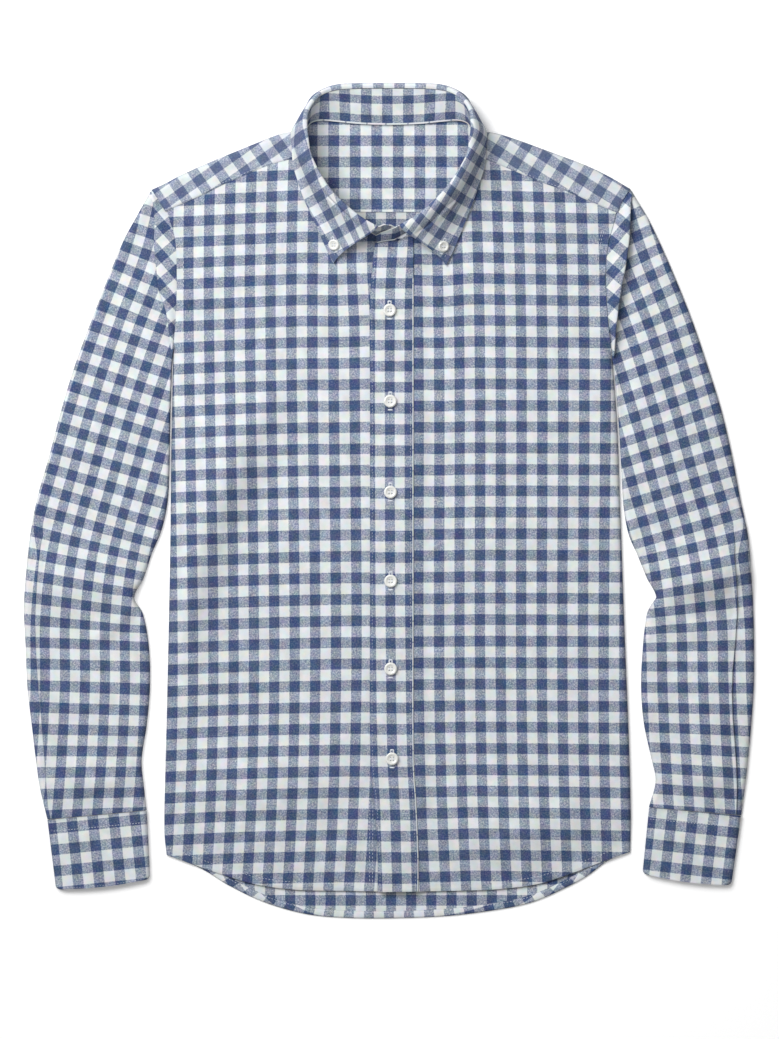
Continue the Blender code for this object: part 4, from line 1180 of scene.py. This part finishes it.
def unit(vectors):
    return vectors / np.linalg.norm(vectors, axis=-1, keepdims=True)


def collar_sections(side):
    """Neck seam, end of the stand, fold, crest, two handles and leaf edge of each section."""
    table = np.array(COLLAR, float)
    neck, roll, edge = (table[:, i : i + 3] * (side, 1, 1) for i in (0, 3, 6))
    run = np.empty((len(table), 2))
    run[1:-1] = roll[2:, :2] - roll[:-2, :2]
    run[0], run[-1] = (side, 0), roll[-1, :2] - roll[-2, :2]
    run = unit(run)
    out = np.stack([-run[:, 1], run[:, 0], 0 * run[:, 0]], 1) * side
    down = unit(neck - roll)
    start = roll + down * ROLL_TURN
    if side > 0:
        start = start - out * ROLL_STEP_LEFT * ramp(-table[:, 4:5], -332, -305)
        edge[-2:, :2] += np.outer((0.4, 1), LONGER_LEFT)
    else:
        edge[:, 0] += STRAIGHTER_RIGHT * np.exp(-(((edge[:, 1] - 256) / 16) ** 2))
    crest = roll + out * (ROLL_RADIUS * np.abs(down[:, 2:]))
    fall = crest + out * table[:, 9:10]
    rest = edge + out * table[:, 10:11] + np.stack([0 * table[:, 11]] * 2 + [table[:, 11]], 1)
    return np.stack([neck, start, roll, crest, fall, rest, edge], 1)


def whole_collar(steps):
    """Sections from the right end round the back of the neck to the left end."""
    right, left = collar_sections(-1), collar_sections(1)
    both = np.concatenate([right[:0:-1], left])
    knots = knots_of(both[:, 2, :2])
    at = np.linspace(0, knots[-1], steps)
    return through(both, knots, at), at - knots[-1] / 2


# %% Collar leaf and stand
LEAF_SIZE = 20.15
# Turn of the threads, size of a repeat, phase of a place beside the neck, and bends of the threads
LEAF_RIGHT_GRAIN = (28.2, (17.71, 19.41), (0.15, 0.77), ((2.8, -3.9, -0.3), (-1.4, -0.6, 0.2)))
LEAF_LEFT_GRAIN = (-28.6, (13.89, 19.62), (0.77, 0.80), ((-6.1, 3.5, 0.7), (-2.4, 0.4, 0.1)))
LEAF_PLEATS = [  # points, width and height
    ([(-72, 314), (-63, 296), (-50, 282), (-41.5, 274), (-29, 261), (-21.5, 250)], 1.3, -2.0),
    ([(-64, 309), (-54, 293), (-43.5, 281), (-31, 271.5), (-18, 266)], 1.2, -1.6),
    ([(-68, 311), (-58.5, 294.5), (-47, 281.5), (-36, 272)], 1.3, 1.2),
    ([(79, 310), (71.5, 296), (63, 287.5), (53.5, 280), (46, 272.5), (39.5, 265), (25, 254.5)], 1.4, -2.2),
    ([(74, 300), (65, 284.5), (58, 275), (50, 267)], 1.3, -1.8),
    ([(77, 306), (68, 290.5), (60, 281.5), (50, 272)], 1.4, 1.4),
]
LEAF_LOWEST = 0.51  # middle of its wall where it lies on the surface
STAND_ROWS = (0, 9.2, 20.6, 28, 37.2), (-0.75, -0.25, 0.25, 0.75, 1.25)
STAND_CROSS_X = 7.0


def collar_leaf():
    parts, round_neck = whole_collar(250)
    neck, start, roll, crest, fall, rest, edge = parts.transpose(1, 0, 2)
    line = []
    for t in (0, 0.2, 0.4, 0.6, 0.8):
        line.append(start * (1 - t) ** 2 + roll * 2 * t * (1 - t) + crest * t * t)
    for t in np.linspace(0, 1, 64):
        s = 1 - t
        line.append(crest * s**3 + fall * 3 * s * s * t + rest * 3 * s * t * t + edge * t**3)
    spots = np.array(line).transpose(1, 0, 2)
    steps = np.linalg.norm(np.diff(spots, axis=1), axis=2)
    down = np.concatenate([np.zeros((len(spots), 1)), np.cumsum(steps, 1)], 1) - ROLL_TURN
    round_neck = round_neck[:, None] + 0 * down
    back = np.stack([round_neck / LEAF_SIZE, 2.25 + (down - 3.5) / LEAF_SIZE], -1)
    grain = back.copy()
    for side, cut in ((-1, LEAF_RIGHT_GRAIN), (1, LEAF_LEFT_GRAIN)):
        front = leaf_front(side, *cut, spots[..., 0], spots[..., 1])
        there = (side * round_neck > 95) & (side * round_neck < 110)
        front -= np.round(np.mean((front - back)[there], axis=0))
        grain += (front - back) * ramp(side * round_neck, 88, 116)[..., None]
    lies = ramp(down, 3, 6) * ramp(np.abs(round_neck), 100, 125)
    spots[..., 2] += creased(spots[..., 0], spots[..., 1], LEAF_PLEATS) * lies
    spots[..., 2] = np.maximum(spots[..., 2], LEAF_LOWEST)
    # painted shade: the edges at 0.35 of full strength, and the leaf's colours dimmed beyond 15 mm from the
    # middle
    return cloth("collar_leaf", spots, grain, CLOTH, wall=1.0, painted_edge_tone=0.35, painted_dimming=(0.08, 15)), spots


def leaf_front(side, turn, size, phase, bends, x, y):
    """UV of the part of a leaf that lies on the chest: along the neck, and away from it."""
    spot = planar(x, y, (65 * side, 275), (1, 1), turn)
    a, b = spot[..., 0], spot[..., 1]
    bent = [(bend[0] * a * a + bend[1] * a * b + bend[2] * b * b) / 1e4 for bend in bends]
    u, v = (phase[i] + spot[..., i] / size[i] + bent[i] for i in (0, 1))
    return np.stack([-side * v, side * u], -1)


def collar_stand():
    parts, round_neck = whole_collar(150)
    neck, start, roll = parts[:, 0], parts[:, 1], parts[:, 2]
    top = start + unit(neck - roll) * 0.6
    right = np.array(BAND_END_RIGHT[::-1], float)
    left = np.array(BAND_END_LEFT, float)
    low = np.concatenate([right[:, :3], neck, left[:, :3]])
    high = np.concatenate([right[:, 3:], top, left[:, 3:]])
    shares = np.concatenate([[0, 0.03, 0.04], np.linspace(0.1, 0.9, 8), [0.955, 0.965, 1]])
    rows = np.stack([low + (high - low) * share for share in shares], 1)
    rows[:, :2, 2] += 0.5
    gone = knots_of(low[:, :2])
    gone -= gone[len(right) + 75]
    up = np.linalg.norm(high - low, axis=1)[:, None] * shares
    grain = np.stack([(gone[:, None] + 0 * up - STAND_CROSS_X) / LEAF_SIZE, np.interp(up, *STAND_ROWS)], -1)
    grain[:, :2] = np.round(grain[:, :2])  # painted highlight: the seam's pressed edge is given white yarn
    # painted highlight: the top edges of the band's ends are given white yarn
    ends = np.r_[0 : len(right), len(rows) - len(left) - 12 : len(rows)]
    grain[ends, -2:] = np.round(grain[ends, -2:])
    # painted edge shade at 0.35 of full strength
    return cloth("collar_band", rows, grain, CLOTH, wall=1.0, painted_edge_tone=0.35)


leaf, leaf_spots = collar_leaf()
stand = collar_stand()
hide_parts("collar_fall")
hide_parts("collar_stand")

# %% [markdown]
# ## Buttons
#
# Shirt buttons are turned from a pearly plastic: a raised rim, a dished middle and four holes. The
# rim and the dish are one profile spun round the middle, and four drills are cut out of it. One
# button is made and its mesh is copied to the other seven places, each square to its cloth.


# %% Where the cloth's surface is
def surface(*pieces):
    """Trees to look down on these pieces with."""
    trees = []
    for piece in pieces:
        corners = [vertex.co for vertex in piece.data.vertices]
        trees.append(BVHTree.FromPolygons(corners, [face.vertices[:] for face in piece.data.polygons]))
    return trees


def top_of(trees, x, y):
    """The highest place of the pieces at x, y in millimetres, and the direction square to it."""
    found = [tree.ray_cast(Vector((x, y, 90)) * MM, Vector((0, 0, -1))) for tree in trees]
    hits = [(hit[0].z / MM, hit[1]) for hit in found if hit[0] is not None]
    return max(hits, key=lambda one: one[0]) if hits else None


# %% Button and thread materials
def button_material():
    made = bpy.data.materials.new("pearl_button")
    made.use_nodes = True
    tree = made.node_tree
    shader = tree.nodes["Principled BSDF"]
    place = node(tree, "ShaderNodeTexCoord").outputs["Object"]
    cloud = noise(tree, place, 260.0, 3.0, {"Distortion": 1.5})
    share = smooth_step(tree, cloud["Fac"], 0.3, 0.7)
    colour = mixed(tree, share, (0.66, 0.67, 0.64, 1), (0.80, 0.80, 0.77, 1))
    rough = ranged(tree, share, {"To Min": 0.34, "To Max": 0.24})
    tree.links.new(colour, shader.inputs["Base Color"])
    tree.links.new(rough, shader.inputs["Roughness"])
    shader.inputs["Coat Weight"].default_value = 0.25
    return made


def thread_material():
    made = bpy.data.materials.new("sewing_thread")
    made.use_nodes = True
    tree = made.node_tree
    shader = tree.nodes["Principled BSDF"]
    place = node(tree, "ShaderNodeTexCoord").outputs["Object"]
    twist = node(tree, "ShaderNodeTexNoise", {"Vector": place, "Scale": 900.0, "Detail": 1.0})
    colour = mixed(tree, twist.outputs["Fac"], (0.60, 0.64, 0.72, 1), (0.82, 0.85, 0.90, 1))
    bump = node(tree, "ShaderNodeBump", {"Height": twist.outputs["Fac"], "Strength": 0.3, "Distance": 0.0001})
    tree.links.new(colour, shader.inputs["Base Color"])
    tree.links.new(bump.outputs["Normal"], shader.inputs["Normal"])
    shader.inputs["Roughness"].default_value = 0.6
    return made


PEARL = button_material()
THREAD = thread_material()

# %% Turn one button
BUTTON_SHARE = 1.04
COLLAR_BUTTON_SHARE = 0.9
BUTTON_PROFILE = [  # distance from the middle, height
    (0, 1.3), (2.5, 1.3), (3.1, 1.38), (3.6, 1.7), (4.2, 1.95), (4.9, 2.0), (5.5, 1.75), (5.9, 1.25),
    (5.85, 0.7), (5.2, 0.25), (0, 0.15),
]
HOLE_AT = 1.3
HOLE_RADIUS = 0.62


def turned_button():
    bm = bmesh.new()
    verts = [bm.verts.new((r * MM, 0, z * MM)) for r, z in BUTTON_PROFILE]
    edges = [bm.edges.new(pair) for pair in zip(verts, verts[1:])]
    bmesh.ops.spin(
        bm, geom=verts + edges, cent=(0, 0, 0), axis=(0, 0, 1), angle=math.tau, steps=48, use_merge=True
    )
    bmesh.ops.remove_doubles(bm, verts=bm.verts, dist=1e-6)
    bmesh.ops.recalc_face_normals(bm, faces=bm.faces)
    drills = bmesh.new()
    for x, y in ((1, 1), (1, -1), (-1, 1), (-1, -1)):
        spot = Matrix.Translation(Vector((x * HOLE_AT, y * HOLE_AT, 1)) * MM)
        size = {"radius1": HOLE_RADIUS * MM, "radius2": HOLE_RADIUS * MM, "depth": 6 * MM}
        bmesh.ops.create_cone(drills, cap_ends=True, segments=16, matrix=spot, **size)
    parts = []
    for name, shape in (("button", bm), ("drills", drills)):
        mesh = bpy.data.meshes.new(name)
        shape.to_mesh(mesh)
        shape.free()
        obj = bpy.data.objects.new(name, mesh)
        bpy.context.scene.collection.objects.link(obj)
        parts.append(obj)
    blank, cutter = parts
    cut = blank.modifiers.new("holes", "BOOLEAN")
    cut.object = cutter
    mesh = bpy.data.meshes.new_from_object(blank.evaluated_get(bpy.context.evaluated_depsgraph_get()))
    for obj in parts:
        bpy.data.objects.remove(obj)
    return mesh


BUTTON = turned_button()
print("button:", len(BUTTON.polygons), "faces")

# %% [markdown]
# ## Thread
#
# A seam shows as a row of short stitches. Each is a tiny ball drawn out along the seam, half sunk
# into the cloth, and a whole seam is one mesh. The ends of a buttonhole are closed by a bar of
# stitches side by side, and its long edges are overcast.


# %% Stitches
def stitch(bm, start, end, thick):
    """One stitch between two places in millimetres."""
    start, end = Vector(start), Vector(end)
    turn = Vector((1, 0, 0)).rotation_difference(end - start).to_matrix().to_4x4()
    shape = Matrix.Diagonal(((end - start).length / 2 * MM, thick / 2 * MM, thick * 0.38 * MM, 1))
    place = Matrix.Translation((start + end) / 2 * MM) @ turn @ shape
    bmesh.ops.create_icosphere(bm, subdivisions=1, radius=1, matrix=place)


def seam(bm, trees, line, length=2.3, gap=0.9, thick=0.42, sink=0.05):
    """Stitches along a line of x, y, lying on the pieces below."""
    total = knots_of(line)[-1]
    count = int(total // (length + gap))
    for i in range(count):
        shares = np.array([i * (length + gap), i * (length + gap) + length]) / total
        ends = along(line, shares)
        tops = [top_of(trees, x, y) for x, y in ends]
        if all(tops) and abs(tops[0][0] - tops[1][0]) < 1.5:
            stitch(bm, *[(*end, top[0] - sink) for end, top in zip(ends, tops)], thick)


def offset(points, far, steps=60):
    """A line this far to the left of another."""
    line = along(points, even(steps))
    run = unit(np.gradient(line, axis=0))
    return line + far * np.stack([-run[:, 1], run[:, 0]], 1)


def sewn(name, bm):
    bmesh.ops.recalc_face_normals(bm, faces=bm.faces)
    return finished(name, bm, THREAD)


# %% Seams of the body
def placket_seams():
    bm = bmesh.new()
    trees = surface(placket_piece)
    seam(bm, trees, offset(PLACKET_SEWN[:-1], 2.8), thick=0.3)
    seam(bm, trees, offset(PLACKET_FREE[:-1], -1.9), thick=0.3)
    trees = surface(front_right)
    seam(bm, trees, np.array([(-18.3, -284.0), (-18.5, -369)]), length=2.8, thick=0.42)
    seam(bm, trees, np.array([(-15.4, -292.0), (-15.8, -369)]), length=2.8, thick=0.42)
    return sewn("placket_stitches", bm)


def body_seams():
    bm = bmesh.new()
    seam(bm, surface(front_right), offset(HEM_RIGHT, 7.0), thick=0.4)
    seam(bm, surface(front_left), offset(HEM_LEFT, -7.0), thick=0.4)
    seam(bm, surface(back), offset(HEM_BACK, 5.2), thick=0.36)
    arm = np.array(ARMHOLE_RIGHT[:5], float) + (6.5, 0)
    seam(bm, surface(front_right), arm, length=2.8, gap=1.6, thick=0.42, sink=-0.1)
    for inside in (7.4, 9.2):
        arm = np.array(ARMHOLE_LEFT[1:5], float) - (inside, 0)
        seam(bm, surface(front_left), arm, length=2.6, gap=1.1, thick=0.36, sink=0)
    trees = surface(yoke_piece)
    seam(bm, trees, offset(YOKE_SEAM_RIGHT, 1.7), thick=0.36)
    seam(bm, trees, offset(YOKE_SEAM_LEFT, -1.7), thick=0.36)
    return sewn("body_stitches", bm)


# %% Seams of the cuffs and the collar
def cuff_seam(name, piece, ends):
    bm = bmesh.new()
    (inner_x, inner_y, outer_x, outer_y), (foot_in_x, foot_in_y, foot_out_x, foot_out_y) = ends
    for share, thick, margin, bow in ((11 / 66, 0.5, 0.012, 0), (64.6 / 66, 0.32, 0.05, CUFF_BOW)):
        start = np.array((inner_x + (foot_in_x - inner_x) * share, inner_y + (foot_in_y - inner_y) * share))
        end = np.array((outer_x + (foot_out_x - outer_x) * share, outer_y + (foot_out_y - outer_y) * share))
        t = np.linspace(margin, 1 - margin, 40)[:, None]
        line = start * (1 - t) + end * t - (0, 1) * (bow * 4 * t * (1 - t))
        seam(bm, surface(piece), line, length=2.0, gap=0.8, thick=thick)
    return sewn(name, bm)


def collar_seams():
    bm = bmesh.new()
    trees = surface(leaf)
    inside = np.linalg.norm(leaf_spots - leaf_spots[:, -1:], axis=2)
    lines = [leaf_spots[i, np.argmin(np.abs(inside[i] - 5.0)), :2] for i in range(len(leaf_spots))]
    ends = len(lines) // 4
    for side in (lines[2:ends], lines[-3:-ends:-1]):
        seam(bm, trees, np.array(side), thick=0.3)
    return sewn("collar_stitches", bm)


threads = [
    placket_seams(),
    body_seams(),
    cuff_seam("cuff_right_stitches", cuff_right, CUFF_RIGHT),
    cuff_seam("cuff_left_stitches", cuff_left, CUFF_LEFT),
    collar_seams(),
]
print("thread:", sum(len(piece.data.polygons) for piece in threads), "faces")

# %% Sew the buttons on
BUTTON_PLACES = [(0.6, 182), (1.2, 95), (1.4, 8), (1.6, -77), (1.6, -161), (2.9, -247)]
COLLAR_BUTTON_PLACES = {"right": (-52.6, 244.5, -1), "left": (52.0, 243.0, 1)}


def buttonhole(bm, trees, middle, along_hole, share):
    """Overcast edges and two bars, round a slit that the button hides."""
    along_hole = Vector((*along_hole, 0)).normalized()
    across = Vector((-along_hole.y, along_hole.x, 0))

    def spot(far, beside):
        place = Vector((*middle, 0)) + (along_hole * far + across * beside) * share
        top = top_of(trees, place.x, place.y)
        return (place.x, place.y, (top[0] if top else 4) + 0.25)

    for i in range(27):
        far = -6.0 + 0.53 * i
        for side in (-1, 1):
            stitch(bm, spot(far, side * 0.3), spot(far, side * 2.2), 0.5 * share)
    for i in range(3):
        stitch(bm, spot(-7.6 - 0.4 * i, -2.7), spot(-7.6 - 0.4 * i, 2.7), 0.6 * share)
        stitch(bm, spot(7.9 + 0.35 * i, -2.1), spot(7.9 + 0.35 * i, 2.1), 0.5 * share)


def sew_button(name, x, y, piece, share, hole):
    trees = surface(piece)
    top = top_of(trees, x, y)[0]
    around = [top_of(trees, x + a, y + b) for a, b in ((3, 0), (-3, 0), (0, 3), (0, -3))]
    slope = Vector((around[1][0] - around[0][0], around[3][0] - around[2][0], 6)).normalized()
    lean = Vector((0, 0, 1)).rotation_difference(slope).to_matrix().to_4x4()
    place = Matrix.Translation(Vector((x, y, top + 0.5)) * MM) @ lean
    bm = bmesh.new()
    bm.from_mesh(BUTTON)
    bmesh.ops.transform(bm, matrix=place @ Matrix.Scale(share, 4), verts=bm.verts)
    disc = finished(name + "_disc", bm, PEARL)
    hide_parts(name)
    bm = bmesh.new()
    for side in (-1, 1):
        for strand in (-0.3, 0, 0.3):
            low = place @ (Vector((side * HOLE_AT + strand, -HOLE_AT - 0.3, 1.25)) * share * MM)
            high = place @ (Vector((side * HOLE_AT + strand, HOLE_AT + 0.3, 1.25)) * share * MM)
            stitch(bm, low / MM, high / MM, 0.42 * share)
    buttonhole(bm, trees, (x, y), hole, share)
    return disc, sewn(name + "_thread", bm)


discs = []
for number, (x, y) in enumerate(BUTTON_PLACES, 1):
    disc, thread = sew_button(f"button_{number}", x, y, placket_piece, BUTTON_SHARE, (0, 1))
    discs.append(disc)
    threads.append(thread)
for side, (x, y, out) in COLLAR_BUTTON_PLACES.items():
    disc, thread = sew_button(f"collar_button_{side}", x, y, leaf, COLLAR_BUTTON_SHARE, (out * 0.25, 1))
    discs.append(disc)
    threads.append(thread)
print("buttons:", len(discs))

# %% [markdown]
# ## Table, light and camera
#
# A plain pale table under an even sky. The light comes from the upper left, as from a window: a
# soft sun for the whole shirt, and a nearer lamp that makes the shoulders a little lighter than the
# hem. A weak lamp overhead lights the inside of the neck. The table glows a little, which keeps the
# shadows pale. The camera looks straight down from far above with a long lens, so that the collar
# doesn't lean over.

# %% Table
def stage_floor():
    bm = bmesh.new()
    bmesh.ops.create_grid(bm, x_segments=1, y_segments=1, size=6)
    mesh = bpy.data.meshes.new("table")
    bm.to_mesh(mesh)
    bm.free()
    floor = bpy.data.objects.new("table", mesh)
    bpy.context.scene.collection.objects.link(floor)
    paper = bpy.data.materials.new("table")
    paper.use_nodes = True
    shader = paper.node_tree.nodes["Principled BSDF"]
    shader.inputs["Base Color"].default_value = (0.97, 0.97, 0.97, 1)
    shader.inputs["Roughness"].default_value = 0.9
    shader.inputs["Emission Color"].default_value = (1, 1, 1, 1)
    shader.inputs["Emission Strength"].default_value = 0.13  # a table lit from below keeps shadows pale
    mesh.materials.append(paper)


stage_floor()

# %% Light
world = bpy.data.worlds.new("sky")
bpy.context.scene.world = world
world.use_nodes = True
world.node_tree.nodes["Background"].inputs["Color"].default_value = (1, 1, 1, 1)
world.node_tree.nodes["Background"].inputs["Strength"].default_value = 0.34


def light(name, kind, energy, place, aimed=True):
    """A light at this place. An aimed one shines at the middle of the shirt, another straight down."""
    lamp = bpy.data.lights.new(name, kind)
    lamp.energy = energy
    made = bpy.data.objects.new(name, lamp)
    bpy.context.scene.collection.objects.link(made)
    made.location = place
    if aimed:
        made.rotation_euler = (Vector((0, 0, 0)) - made.location).to_track_quat("-Z", "Y").to_euler()
    return made


light("window", "SUN", 1.95, (-1.95, 1.6, 1.95)).data.angle = math.radians(30)
light("near_window", "AREA", 9.0, (-0.5, 0.75, 1.0)).data.size = 0.8
overhead = light("overhead", "AREA", 0.6, (-0.02, 0.12, 0.75), aimed=False)
overhead.data.size = 0.5
overhead.visible_camera = False
bpy.context.scene.view_settings.view_transform = "Standard"

# %% Camera
VIEW_HEIGHT = 0.9943  # metres of table that the camera sees, from top to foot
CAMERA_Z = 8.0
camera = bpy.data.objects.new("camera", bpy.data.cameras.new("camera"))
bpy.context.scene.collection.objects.link(camera)
camera.location = (0.0005, -0.0182, CAMERA_Z)
camera.data.sensor_width = 36
camera.data.lens = 36 * CAMERA_Z / VIEW_HEIGHT
camera.data.clip_end = 50
bpy.context.scene.camera = camera

# %% [markdown]
# ## What each piece was cut to
#
# Cloth keeps the size it was cut to. For each piece the calls below give, in metres, the smallest
# rectangle of cloth that it was cut from, without the seam turnings that don't show, then the pieces
# it lies on and the threads and buttons that go with it; `cut` keeps none of it. The area was
# measured on the cloth as it was made above, and not on a cut, so it can't tell whether making a
# piece stretched it. A sleeve and a cuff count all round the tube.

# %% Cut sizes
def cut(piece, width, length, on, with_pieces=()):
    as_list(on)
    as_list(with_pieces)


placket_threads, body_threads, cuff_right_threads, cuff_left_threads, collar_threads = threads[:5]
cut(back, 0.443, 0.684, [])
cut(front_right, 0.229, 0.710, [back], [body_threads])
cut(front_left, 0.249, 0.710, [back, front_right])
cut(placket_piece, 0.041, 0.633, [front_left], [placket_threads, *discs[:6], *threads[5:11]])
cut(yoke_piece, 0.460, 0.130, [front_right, front_left])
cut(sleeve_right, 0.305, 0.530, [])
cut(sleeve_left, 0.300, 0.530, [])
cut(head_right, 0.034, 0.165, [sleeve_right])
cut(head_left, 0.034, 0.170, [sleeve_left])
cut(cuff_right, 0.189, 0.069, [], [cuff_right_threads])
cut(cuff_left, 0.178, 0.069, [], [cuff_left_threads])
cut(leaf, 0.430, 0.075, [stand, front_right, front_left], [collar_threads, *discs[6:], *threads[11:]])
cut(stand, 0.450, 0.037, [back])
